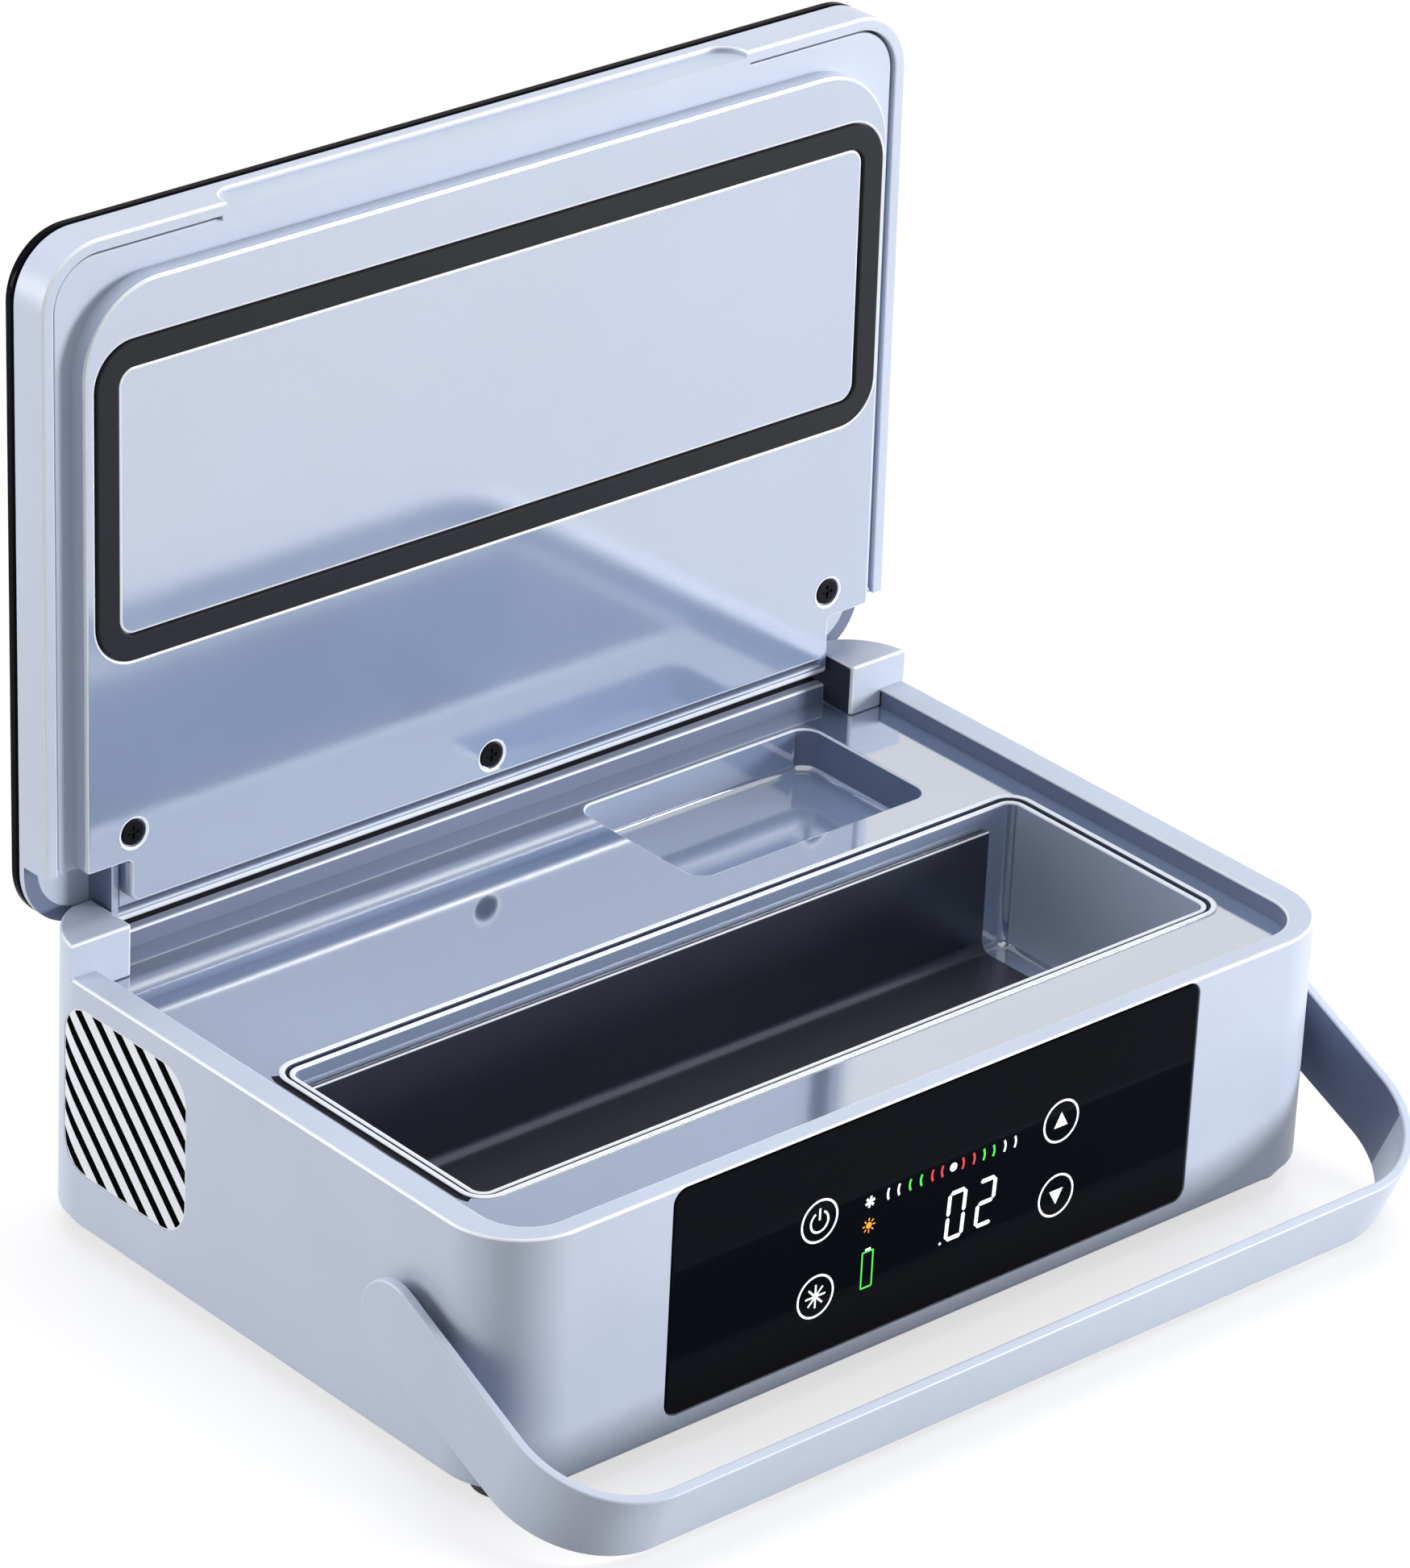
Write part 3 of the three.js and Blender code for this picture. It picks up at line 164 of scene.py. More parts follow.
def frame_shape(x0, x1, y0, y1, corner, steps=CORNER_STEPS):
    """A rounded rectangle whose sides move in by the inset."""
    def shape(inset):
        radius = max(corner - inset, LEAST_RADIUS)
        near_x, far_x = x0 + inset + radius, x1 - inset - radius
        near_y, far_y = y0 + inset + radius, y1 - inset - radius
        centres = ((far_x, near_y), (far_x, far_y), (near_x, far_y), (near_x, near_y))
        points = []
        for i, (x, y) in enumerate(centres):
            points += arc(x, y, radius, (i - 1) * QUARTER, i * QUARTER, steps)
        return points
    return shape


def disc_shape(x, y, radius, steps=32):
    return lambda inset: arc(x, y, radius - inset, 0, 2 * math.pi, steps)[:-1]


def convex_shape(points):
    """A convex outline, counter-clockwise, whose sides move in by the inset."""
    def shape(inset):
        moved = []
        for i, here in enumerate(points):
            before, after = Vector(points[i - 1]), Vector(points[(i + 1) % len(points)])
            here = Vector(here)
            a = (here - before).normalized()
            b = (after - here).normalized()
            na, nb = Vector((-a.y, a.x)), Vector((-b.y, b.x))
            moved.append(tuple(here + (na + nb) * inset / max(1 + na.dot(nb), 0.2)))
        return moved
    return shape


def moved_in(shape, distance):
    """The same outline, drawn further in."""
    return lambda inset: shape(distance + inset)


case_shape = frame_shape(LEFT, RIGHT, FRONT, BACK, CASE_CORNER)
lid_shape = frame_shape(LEFT, RIGHT, FRONT, BACK, LID_CORNER)
rim_shape = frame_shape(-RIM_SIDE, RIM_SIDE, RIM_FRONT, RIM_BACK, RIM_CORNER)
lip_shape = frame_shape(LIP_LEFT, LIP_RIGHT, LIP_FRONT, LIP_BACK, LIP_CORNER)
tray_shape = frame_shape(TRAY_LEFT, TRAY_RIGHT, TRAY_FRONT, TRAY_BACK, TRAY_CORNER)
gasket_shape = frame_shape(*SEAL_BOX)
lens_shape = frame_shape(*LENS_BOX)


# Levels: outlines with their heights
def stations(shape, height, *steps):
    """Levels of one outline, from pairs of an inset and a rise above the height."""
    return [(shape(inset), height + rise) for inset, rise in steps]


def quarter_turns(steps=ROUND_STEPS):
    return [QUARTER * i / steps for i in range(steps + 1)]


def quarter_round(shape, inset, height, radius, low_side):
    """The levels of a solid's round edge, from low to high."""
    levels = []
    for turn in quarter_turns():
        if low_side:
            away, rise = 1 - math.sin(turn), 1 - math.cos(turn)
        else:
            away, rise = 1 - math.cos(turn), math.sin(turn) - 1
        levels.append((shape(inset + radius * away), height + radius * rise))
    return levels


def inner_round(shape, inset, height, radius):
    """The levels of a mouth's round edge, from the top face down into the mouth."""
    return [(shape(inset - radius * (1 - math.sin(turn))), height - radius * (1 - math.cos(turn)))
            for turn in quarter_turns()]


def foot_round(shape, inset, height, reach, rise):
    """The levels of a wall's curved foot, from high to low. A negative reach turns outwards."""
    return [(shape(inset + reach * (1 - math.cos(turn))), height + rise * (1 - math.sin(turn)))
            for turn in quarter_turns()]


def pillow(shape, low, high, low_round=0.0, high_round=0.0, flare=0.0):
    """Levels from low to high with round edges, or with a flared mouth at the high end."""
    levels = quarter_round(shape, 0, low, low_round, True) if low_round else [(shape(0), low)]
    if high_round:
        levels += quarter_round(shape, 0, high, high_round, False)
    elif flare:
        for turn in quarter_turns():
            levels.append((shape(-flare * (1 - math.cos(turn))), high - flare + flare * math.sin(turn)))
        levels.append((shape(-flare), high + BEYOND))
    else:
        levels.append((shape(0), high))
    return levels


AXES = {"z": lambda u, v, w: (u, v, w), "y": lambda u, v, w: (u, w, v), "x": lambda u, v, w: (w, u, v)}


def loft(levels, axis="z", ring=False):
    """A closed mesh through the levels: capped at both ends, or closed on itself as a ring."""
    count = len(levels[0][0])
    points = [AXES[axis](u, v, w) for outline, w in levels for u, v in outline]
    faces = []
    rows = len(levels)
    for row in range(rows if ring else rows - 1):
        a, b = row * count, (row + 1) % rows * count
        for i in range(count):
            j = (i + 1) % count
            faces.append((a + i, a + j, b + j, b + i))
    if not ring:
        faces.append(tuple(reversed(range(count))))
        faces.append(tuple(range((rows - 1) * count, rows * count)))
    mesh = bpy.data.meshes.new("part")
    mesh.from_pydata(points, [], faces)
    return tidy_mesh(mesh)


def tidy_mesh(mesh):
    """Welds the mesh's corners and turns its faces outwards."""
    work = bmesh.new()
    work.from_mesh(mesh)
    bmesh.ops.remove_doubles(work, verts=work.verts, dist=WELD)
    bmesh.ops.dissolve_degenerate(work, edges=work.edges, dist=WELD)
    bmesh.ops.recalc_face_normals(work, faces=work.faces)
    if work.calc_volume(signed=True) < 0:
        bmesh.ops.reverse_faces(work, faces=work.faces)
    work.to_mesh(mesh)
    work.free()
    return mesh


def block(x0, x1, y0, y1, z0, z1):
    return loft([([(x0, y0), (x1, y0), (x1, y1), (x0, y1)], z) for z in (z0, z1)])


def side_block(side, near, far, y0, y1, z0, z1):
    """A block on the left (-1) or right (1), given by its distances from the middle."""
    x0, x1 = sorted((side * near, side * far))
    return block(x0, x1, y0, y1, z0, z1)


def rod(radius, u, v, w0, w1, axis, edge=0.0):
    return loft(pillow(disc_shape(u, v, radius), w0, w1, edge, edge), axis)


def side_rod(side, size, y, z):
    """A rod along x on the left (-1) or right (1)."""
    radius, near, far, edge = size
    x0, x1 = sorted((side * near, side * far))
    return rod(radius, y, z, x0, x1, "x", edge)


def add_object(name, data):
    thing = bpy.data.objects.new(name, data)
    bpy.context.scene.collection.objects.link(thing)
    return thing


def applied(mesh, add_modifiers):
    """The mesh with modifiers applied."""
    thing = add_object("work", mesh)
    add_modifiers(thing)
    result = bpy.data.meshes.new_from_object(thing.evaluated_get(bpy.context.evaluated_depsgraph_get()))
    bpy.data.objects.remove(thing)
    return result


def combine(mesh, tools, operation):
    others = [add_object("tool", tool) for tool in tools]

    def add(thing):
        for other in others:
            step = thing.modifiers.new("combine", "BOOLEAN")
            step.operation = operation
            step.solver = "MANIFOLD"
            step.object = other
    result = applied(mesh, add)
    for other in others:
        bpy.data.objects.remove(other)
    return tidy_mesh(result)


def cut(mesh, *tools):
    return combine(mesh, tools, "DIFFERENCE")


def join(mesh, *tools):
    return combine(mesh, tools, "UNION")


def common(mesh, *tools):
    return combine(mesh, tools, "INTERSECT")


def soften(mesh, width, segments):
    """Rounds the mesh's sharp edges."""
    def add(thing):
        step = thing.modifiers.new("soften", "BEVEL")
        step.width = width
        step.segments = segments
        step.limit_method = "ANGLE"
        step.angle_limit = BEVEL_ANGLE
        step.miter_outer = "MITER_ARC"
    return tidy_mesh(applied(mesh, add))


def merge(*meshes):
    work = bmesh.new()
    for mesh in meshes:
        work.from_mesh(mesh)
    result = bpy.data.meshes.new("part")
    work.to_mesh(result)
    work.free()
    return result


def piece(name, mesh, material, body, stands_for=(), paint=()):
    """A finished piece. Paint is a list of (material, test of a face)."""
    mesh.name = name
    mesh.materials.clear()
    mesh.materials.append(material)
    for coat, _ in paint:
        mesh.materials.append(coat)
    for face in mesh.polygons:
        face.material_index = 0
        for index, (_, test) in enumerate(paint, 1):
            if test(face):
                face.material_index = index
    mesh.transform(PLACES[body])
    mesh.polygons.foreach_set("use_smooth", [True] * len(mesh.polygons))
    mesh.set_sharp_from_angle(angle=SHARP_ANGLE)
    thing = add_object(name, mesh)
    level = thing.modifiers.new("normals", "WEIGHTED_NORMAL")
    level.keep_sharp = True
    level.weight = 100
    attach(thing, body)
    if stands_for:
        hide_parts(*stands_for)


def slanted(face):
    """True on the round edges between level and upright faces."""
    return 0.3 < abs(face.normal.z) < 0.95


# Materials
CLOUD_SCALE = 28
GRAIN_DEPTH = 0.00005


def srgb(red, green, blue):
    def linear(value):
        value /= 255
        return value / 12.92 if value <= 0.04045 else ((value + 0.055) / 1.055) ** 2.4
    return (linear(red), linear(green), linear(blue), 1.0)


def settings(node, values):
    for name, value in values.items():
        node.inputs[name].default_value = value


def moulded(name, colour, roughness, grain=0.0, grain_scale=2500, mottle=0.03, metallic=0.0,
            emission=0.0, rough_spread=0.04, refraction=1.5, specular=0.5):
    """Plastic, rubber or metal with faint colour and gloss variation and a fine surface grain."""
    material = bpy.data.materials.new(name)
    material.use_nodes = True
    nodes, links = material.node_tree.nodes, material.node_tree.links
    shader = nodes["Principled BSDF"]
    settings(shader, {"Metallic": metallic, "IOR": refraction, "Specular IOR Level": specular})
    place = nodes.new("ShaderNodeTexCoord")
    cloud = nodes.new("ShaderNodeTexNoise")
    settings(cloud, {"Scale": CLOUD_SCALE, "Detail": 3})
    links.new(place.outputs["Object"], cloud.inputs["Vector"])
    ramp = nodes.new("ShaderNodeValToRGB")
    for stop, position, factor in zip(ramp.color_ramp.elements, (0.3, 0.7), (1 - mottle, 1 + mottle)):
        stop.position = position
        stop.color = tuple(min(1, c * factor) for c in colour[:3]) + (1,)
    links.new(cloud.outputs["Fac"], ramp.inputs["Fac"])
    links.new(ramp.outputs["Color"], shader.inputs["Base Color"])
    gloss = nodes.new("ShaderNodeMapRange")
    settings(gloss, {"To Min": max(roughness - rough_spread, 0.01), "To Max": roughness + rough_spread})
    links.new(cloud.outputs["Fac"], gloss.inputs["Value"])
    links.new(gloss.outputs["Result"], shader.inputs["Roughness"])
    if grain:
        fine = nodes.new("ShaderNodeTexNoise")
        settings(fine, {"Scale": grain_scale, "Detail": 2})
        bump = nodes.new("ShaderNodeBump")
        settings(bump, {"Strength": grain, "Distance": GRAIN_DEPTH})
        links.new(place.outputs["Object"], fine.inputs["Vector"])
        links.new(fine.outputs["Fac"], bump.inputs["Height"])
        links.new(bump.outputs["Normal"], shader.inputs["Normal"])
    if emission:
        settings(shader, {"Emission Color": colour, "Emission Strength": emission})
    return material


satin_blue = moulded("satin_blue", srgb(194, 203, 221), 0.36, grain=0.25, refraction=1.6)
# Painted highlight: a near-white paint for round edges, standing in for the light they catch
painted_highlight_blue = moulded("painted_highlight_blue", srgb(238, 242, 248), 0.35, grain=0.1, mottle=0.01)
# Painted shade: a darker blue for faces that stand in shade
painted_shade_blue = moulded("painted_shade_blue", srgb(108, 119, 146), 0.4, grain=0.15)
gloss_blue = moulded("gloss_blue", srgb(149, 166, 197), 0.1, rough_spread=0.02, refraction=2.4, specular=1.0)
deck_blue = moulded("deck_blue", srgb(118, 136, 168), 0.08, rough_spread=0.02, refraction=3.2, specular=1.0)
# Painted shade: dark grey and near black paints for sides, grooves, gaps and slots in shade
side_shade = moulded("side_shade", srgb(46, 50, 62), 0.5, specular=0.2)
deep_shade = moulded("deep_shade", srgb(10, 11, 15), 0.6, specular=0.2)
pivot_plastic = moulded("pivot_plastic", srgb(200, 203, 210), 0.45, grain=0.2)
gloss_black = moulded("gloss_black", srgb(9, 11, 18), 0.06, rough_spread=0.01, specular=0.025)
seal_rubber = moulded("seal_rubber", srgb(30, 32, 38), 0.6, grain=0.5, grain_scale=1800, specular=0.15)
foot_rubber = moulded("foot_rubber", srgb(40, 41, 44), 0.8, grain=0.6, grain_scale=1500)
foam_white = moulded("foam_white", srgb(232, 234, 238), 0.95, grain=0.8, grain_scale=900)
dark_metal = moulded("dark_metal", srgb(86, 89, 99), 0.3, grain=0.8, grain_scale=1500, metallic=0.7)
bare_metal = moulded("bare_metal", srgb(190, 193, 198), 0.35, grain=0.2, metallic=1.0)
steel = moulded("steel", srgb(175, 178, 182), 0.3, grain=0.2, metallic=1.0)
black_steel = moulded("black_steel", srgb(8, 9, 12), 0.4, specular=0.1)
black_plastic = moulded("black_plastic", srgb(24, 25, 28), 0.5, grain=0.3)
white_ceramic = moulded("white_ceramic", srgb(230, 228, 222), 0.5, grain=0.3)
cell_sleeve = moulded("cell_sleeve", srgb(52, 120, 186), 0.3)
green_mask = moulded("green_mask", srgb(32, 98, 62), 0.35, grain=0.3, grain_scale=700)


# Case pieces
def clip(points, normal, limit):
    """The part of a convex outline where its points' share along the normal is at most the limit."""
    kept = []
    for i, here in enumerate(points):
        after = points[(i + 1) % len(points)]
        a = here[0] * normal[0] + here[1] * normal[1] - limit
        b = after[0] * normal[0] + after[1] * normal[1] - limit
        if a <= 0:
            kept.append(here)
        if (a < 0 < b) or (b < 0 < a):
            t = a / (a - b)
            kept.append((here[0] + t * (after[0] - here[0]), here[1] + t * (after[1] - here[1])))
    return kept


def thin_out(points, least):
    """The outline without points that lie closer together than the least distance."""
    kept = []
    for point in points:
        if not kept or math.dist(point, kept[-1]) > least:
            kept.append(point)
    if math.dist(kept[0], kept[-1]) <= least:
        kept.pop()
    return kept


def vent_tools():
    """Cutters for a shallow pocket, and for the slanted slots in it that end on one rounded outline."""
    shape = frame_shape(VENT_Y, VENT_Y + VENT_WIDTH, VENT_Z, VENT_Z + VENT_HEIGHT, VENT_CORNER, steps=10)
    edge, border = shape(-VENT_MARGIN), shape(0)
    pocket = cut(loft([(edge, LEFT - BEYOND), (edge, LEFT + 2)], "x"),
                 loft(stations(case_shape, 0, (VENT_STEP, 0), (VENT_STEP, RIM_TOP))))
    normal = (-math.sin(SLOT_TURN), math.cos(SLOT_TURN))
    middle = (VENT_Y + VENT_WIDTH / 2) * normal[0] + (VENT_Z + VENT_HEIGHT / 2) * normal[1]
    slots = []
    for index in range(SLOT_COUNT):
        centre = middle + (index - (SLOT_COUNT - 1) / 2) * SLOT_PITCH - SLOT_SHIFT
        slot = clip(border, normal, centre + SLOT_HALF)
        slot = thin_out(clip(slot, (-normal[0], -normal[1]), SLOT_HALF - centre), SLOT_LEAST)
        slots.append(loft([(slot, LEFT - BEYOND), (slot, LEFT + WALL + BEYOND)], "x"))
    return pocket, slots


def hinge_post(side):
    """A post whose rear top edge is rounded about the hinge axis."""
    corner = arc(RIGHT - CASE_CORNER, BACK - CASE_CORNER, CASE_CORNER, 0, QUARTER)
    plan = corner + [(RIGHT - CASE_CORNER, 0), (RIGHT, 0)]
    plan = thin_out(clip(clip(plan, (0, -1), -POST_FRONT), (-1, 0), -POST_INNER), SEAM)[:-1]
    plan += arc(POST_INNER + POST_CORNER, POST_FRONT + POST_CORNER, POST_CORNER, 2 * QUARTER, 3 * QUARTER, 6)
    if side < 0:
        plan = [(-x, y) for x, y in reversed(plan)]
    shape = convex_shape(plan)
    levels = stations(shape, 0, (0, DECK_TOP + GAP), (0, HINGE_Z))
    for turn in quarter_turns(POST_STEPS)[1:]:
        height = HINGE_ROUND * math.sin(turn)
        rise = max(height - HINGE_ROUND + POST_EDGE, 0)
        inset = POST_EDGE - math.sqrt(max(POST_EDGE ** 2 - rise ** 2, 0))
        limit = HINGE_Y + math.sqrt(max(HINGE_ROUND ** 2 - height ** 2, 0))
        levels.append(([(x, min(y, limit)) for x, y in shape(inset)], HINGE_Z + height))
    return loft(levels)


def case_shell():
    levels = stations(case_shape, SHELL_BOTTOM, (0, SHELL_CHAMFER))
    levels += quarter_round(case_shape, 0, RIM_TOP, RIM_ROUND, False)
    levels += stations(rim_shape, RIM_TOP, (-RIM_FLAT, 0))
    levels += inner_round(rim_shape, 0, RIM_TOP, MOUTH_ROUND)
    levels += stations(rim_shape, DECK_TOP, (0, SEAM), (-RETURN_WIDTH, SEAM))
    levels += stations(rim_shape, RIM_TOP, (-RETURN_WIDTH, -RETURN_HEIGHT))
    levels += stations(case_shape, RIM_TOP, (WALL, -RETURN_HEIGHT))
    levels += stations(case_shape, SHELL_BOTTOM, (WALL, 0), (SHELL_CHAMFER, 0))
    shell = join(loft(levels, ring=True), *[hinge_post(side) for side in SIDES])
    opening = moved_in(lens_shape, -GAP)
    recess = stations(opening, FRONT, (-0.3, -BEYOND), (-0.3, 0), (-0.1, 0.1), (0, 0.3), (0, 1.8))
    inlet = rod(INLET_RADIUS, INLET_X, INLET_Z, BACK - WALL - BEYOND, BACK + BEYOND, "y")
    pocket, slots = vent_tools()
    return cut(cut(shell, loft(recess, "y"), inlet, pocket), *slots)


def in_vent(face):
    place = face.center
    beside = VENT_Y - 2 < place.y < VENT_Y + VENT_WIDTH + 2
    return beside and VENT_Z - 2 < place.z < VENT_Z + VENT_HEIGHT + 2 and place.x < LEFT + WALL + 0.5


# Painted shade: the slots' inner walls are painted near black for the dark inside of the vent
def slot_wall_shade(face):
    return in_vent(face) and abs(face.normal.x) < 0.3


def vent_bar(face):
    """The vent's bars, which stand a little lower than the wall round them, and get a painted highlight."""
    place = face.center
    if place.y < BACK - CASE_CORNER:
        depth = place.x - LEFT
    else:
        depth = CASE_CORNER - math.hypot(place.x - LEFT - CASE_CORNER, place.y - BACK + CASE_CORNER)
    return in_vent(face) and VENT_STEP - SEAM < depth and place.x < LEFT + 1 and face.normal.x < -0.3


def on_post(face):
    place = face.center
    return abs(place.x) > POST_INNER - 0.1 and place.y > POST_FRONT - 0.1 and place.z > RIM_TOP - 4


def post_edge(face):
    """The post's inner front corner and the round edges of its top, which get a painted highlight."""
    place, normal = face.center, face.normal
    corner = abs(place.x) < POST_INNER + POST_CORNER + 0.2 and place.y < POST_FRONT + POST_CORNER + 0.2
    upright = abs(normal.z) < 0.1 and 0.15 < abs(normal.x) < 0.99 and corner
    top = place.z > POST_TOP - 0.7 and slanted(face) and normal.y < 0.3
    return on_post(face) and (upright or top)


# Painted shade: the post's inner side, which faces the middle, is painted dark
def post_side_shade(face):
    return on_post(face) and face.normal.x * face.center.x < 0 and abs(face.normal.x) > 0.95


# Painted highlight on the round edges of the rim's top
def rim_edge(face):
    return RIM_TOP - RIM_ROUND - SEAM < face.center.z <= RIM_TOP and slanted(face)


def rim_wall_shade(face):
    """The rim's inner walls, painted darker for the lid's shade."""
    place = face.center
    inside = abs(place.x) < RIM_SIDE + 0.8 and RIM_FRONT - 0.7 < place.y < RIM_BACK + 0.4
    upright = abs(face.normal.z) < 0.12
    return inside and upright and DECK_TOP < place.z < RIM_TOP - 0.5 and not on_post(face)


def hinge_gap_shade(face):
    """The strip of the rim's top below the open lid's edge, painted near black for the shade in the gap."""
    place = face.center
    return abs(place.x) < POST_INNER and BACK - 4.2 < place.y < BACK - 1.5 and place.z > RIM_TOP - 0.05


def deck():
    levels = stations(case_shape, 0, (DECK_INSET, DECK_BOTTOM), (DECK_INSET, DECK_TOP))
    levels += stations(lip_shape, DECK_TOP, (-LIP_BORDER, 0), (0, 0))
    levels += quarter_round(lip_shape, 0, LIP_TOP, LIP_ROUND, False)
    levels += inner_round(lip_shape, LIP_WIDTH, LIP_TOP, LIP_ROUND)
    levels += stations(lip_shape, DECK_BOTTOM, (LIP_WIDTH, 0))
    plate = loft(levels, ring=True)
    tray_foot = DECK_TOP - (TRAY_DEPTH + TRAY_WALL)
    tray = loft(pillow(moved_in(tray_shape, -TRAY_WALL), tray_foot, DECK_TOP - 0.5, low_round=2.0))
    tool = loft(pillow(tray_shape, DECK_TOP - TRAY_DEPTH, DECK_TOP, low_round=1.6, flare=MOUTH_ROUND))
    return cut(join(plate, tray), tool)


# Painted highlight on the lip's top and the deck's round edges
def deck_edge(face):
    place = face.center
    on_lip = place.z > LIP_TOP - 0.3 and face.normal.z > 0.3
    return on_lip or (place.z > DECK_TOP - 0.65 and slanted(face))


def tray_inside(face):
    place = face.center
    beside = TRAY_LEFT - 0.3 < place.x < TRAY_RIGHT + 0.3
    return beside and TRAY_FRONT - 0.4 < place.y < TRAY_BACK + 0.4 and place.z < DECK_TOP - 0.5


def tray_right_shade(face):
    """The tray's right wall, painted darker for the shade on it."""
    place, normal = face.center, face.normal
    upright = abs(normal.z) < 0.3 and normal.x < -0.15
    return tray_inside(face) and upright and place.x > TRAY_RIGHT - 4.7 and place.y > TRAY_FRONT + 0.6


def lip_shadow(face):
    """Painted shadow on the deck between the rim and the chamber's lip, on the left."""
    place = face.center
    beside = LIP_LEFT - 1.8 < place.x < LIP_LEFT + 0.1 and LIP_FRONT - 2.2 < place.y < LIP_BACK + 2
    return beside and DECK_TOP - 0.01 < place.z < LIP_TOP - 0.1


def chamber():
    outer = moved_in(lip_shape, TUB_OUTSIDE)
    levels = quarter_round(outer, 0, TUB_BOTTOM, 3.0, True)
    levels += stations(outer, TUB_TOP, (0, -1.5), (BEAD, -1.2))
    levels += quarter_round(outer, BEAD, TUB_TOP, LIP_ROUND, False)
    levels += inner_round(lip_shape, TUB_INSIDE, TUB_TOP, 0.5)
    levels += foot_round(lip_shape, TUB_INSIDE, TUB_FLOOR, 1.6, 1.6)
    return loft(levels)


# Painted light: the chamber's right wall is lightened with the case's satin colour
def chamber_right_lightened(face):
    return face.center.x > LIP_RIGHT - 6 and face.normal.x < -0.95


# Painted highlight on the tub's top edge
def tub_edge(face):
    return face.center.z > TUB_TOP - 0.4 and face.normal.z > 0.4


def tub_groove_shade(face):
    """The wall of the narrow groove between the lip and the tub, painted dark grey for the shade in it."""
    place, normal = face.center, face.normal
    middle = (LIP_FRONT + LIP_BACK) / 2
    outwards = place.x * normal.x + (place.y - middle) * normal.y > 0
    return TUB_TOP - 1.6 < place.z < TUB_TOP and outwards and normal.z < 0.95


def cold_plate():
    """The plate on the chamber's floor, bent up along its rear edge."""
    y, z = PLATE_BACK - PLATE_BEND, PLATE_BOTTOM + PLATE_BEND
    profile = [(PLATE_FRONT, PLATE_BOTTOM)] + arc(y, z, PLATE_BEND, -QUARTER, 0)
    profile += [(PLATE_BACK, PLATE_TOP), (PLATE_BACK - PLATE_THICK, PLATE_TOP)]
    profile += arc(y, z, PLATE_BEND - PLATE_THICK, 0, -QUARTER)
    profile += [(PLATE_FRONT, PLATE_BOTTOM + PLATE_THICK)]
    return soften(loft([(profile, PLATE_LEFT), (profile, PLATE_RIGHT)], "x"), 0.3, segments=2)


# Painted highlight on the round top edge of the plate's upright leg
def plate_edge(face):
    return face.center.z > PLATE_TOP - 0.4 and slanted(face) and face.normal.y < 0


# Lid pieces
def lid_shell():
    levels = stations(lid_shape, LID_ROOF, (LID_RIM + 0.5, 0), (LID_RIM, -0.5))
    levels += foot_round(lid_shape, LID_RIM, LID_BOTTOM, -0.45, 0.45)
    levels += quarter_round(lid_shape, 0, LID_BOTTOM, LID_FOOT_ROUND, True)
    levels += quarter_round(lid_shape, 0, LID_TOP, LID_TOP_ROUND, False)
    notches = [notch(side, NOTCH_X, NOTCH_Y, LID_BOTTOM - BEYOND, LID_ROOF) for side in SIDES]
    ears = [side_block(side, NOTCH_X - EAR, NOTCH_X, NOTCH_Y + GAP, BACK, LID_BOTTOM, LID_ROOF + GAP)
            for side in SIDES]
    shell = join(cut(loft(levels), *notches), *ears)

    # The rear lower edge is rounded, so that it clears the case as it turns
    front, hair = FRONT - BEYOND, 0.001
    profile = [(front, LID_BOTTOM - hair)] + arc(BACK - 2, LID_BOTTOM + 2, 2, -QUARTER, 0, 10)
    profile += [(BACK + hair, LID_TOP + hair), (front, LID_TOP + hair)]
    shell = common(shell, loft([(profile, LEFT - BEYOND), (profile, RIGHT + BEYOND)], "x"))

    # The shallow grip in the front wall, with a backing behind it
    low, high = LID_BOTTOM - GRIP_HEIGHT, LID_BOTTOM + GRIP_HEIGHT
    grip = frame_shape(-GRIP_SIDE, GRIP_SIDE, low, high, GRIP_CORNER)
    inside = LID_RIM + GRIP_WALL
    backing = loft(stations(grip, FRONT, (-GRIP_WALL, 1.5), (-GRIP_WALL, inside)), "y")
    backing = common(backing, block(LEFT, RIGHT, FRONT, FRONT + inside, LID_BOTTOM, LID_ROOF))
    tool = stations(grip, FRONT, (-0.4, -BEYOND), (-0.4, 0), (-0.15, 0.1), (0, 0.4), (0, 1.1), (0.3, 1.4))
    return cut(join(shell, backing), loft(tool, "y"))


def skirt_edge(face):
    """The lower edges of the skirt, which face the viewer when the lid is open, and get a painted highlight.
    """
    place = face.center
    if place.y > BACK - 2.2 and abs(place.x) < NOTCH_X:
        return place.z < LID_BOTTOM + 0.32 and face.normal.z < -0.3
    outer = abs(place.x) > RIGHT - 1 or place.y < FRONT + 1
    inner = not outer and place.y < HINGE_Y - 12
    return place.z < LID_BOTTOM + 0.75 and slanted(face) and (outer or inner)


def recess_edge(face):
    """The softened edge of the grip in the lid's front wall, which gets a painted highlight."""
    place = face.center
    beside = abs(place.x) < GRIP_SIDE + 1 and place.z < LID_BOTTOM + GRIP_HEIGHT + 0.6
    return beside and place.y < FRONT + 0.42 and 0.2 < abs(face.normal.y) < 0.985


def tongue_strip(face):
    place = face.center
    inside = abs(place.x) < NOTCH_X and place.y > TONGUE_BACK - 8
    return inside and place.z < LID_BOTTOM + 0.01 and face.normal.z < -0.9


# Painted shade: the faces of the room round the hinge posts are painted darker
def notch_shade(face):
    place = face.center
    return abs(place.x) > NOTCH_X - 0.05 and place.y > NOTCH_Y - 0.05 and place.z < LID_ROOF + 0.05


# Painted highlight on the raised face's round edges and the groove's edges
def face_edge(face):
    return face.center.z < PLATEAU_BOTTOM + 0.85 and slanted(face)


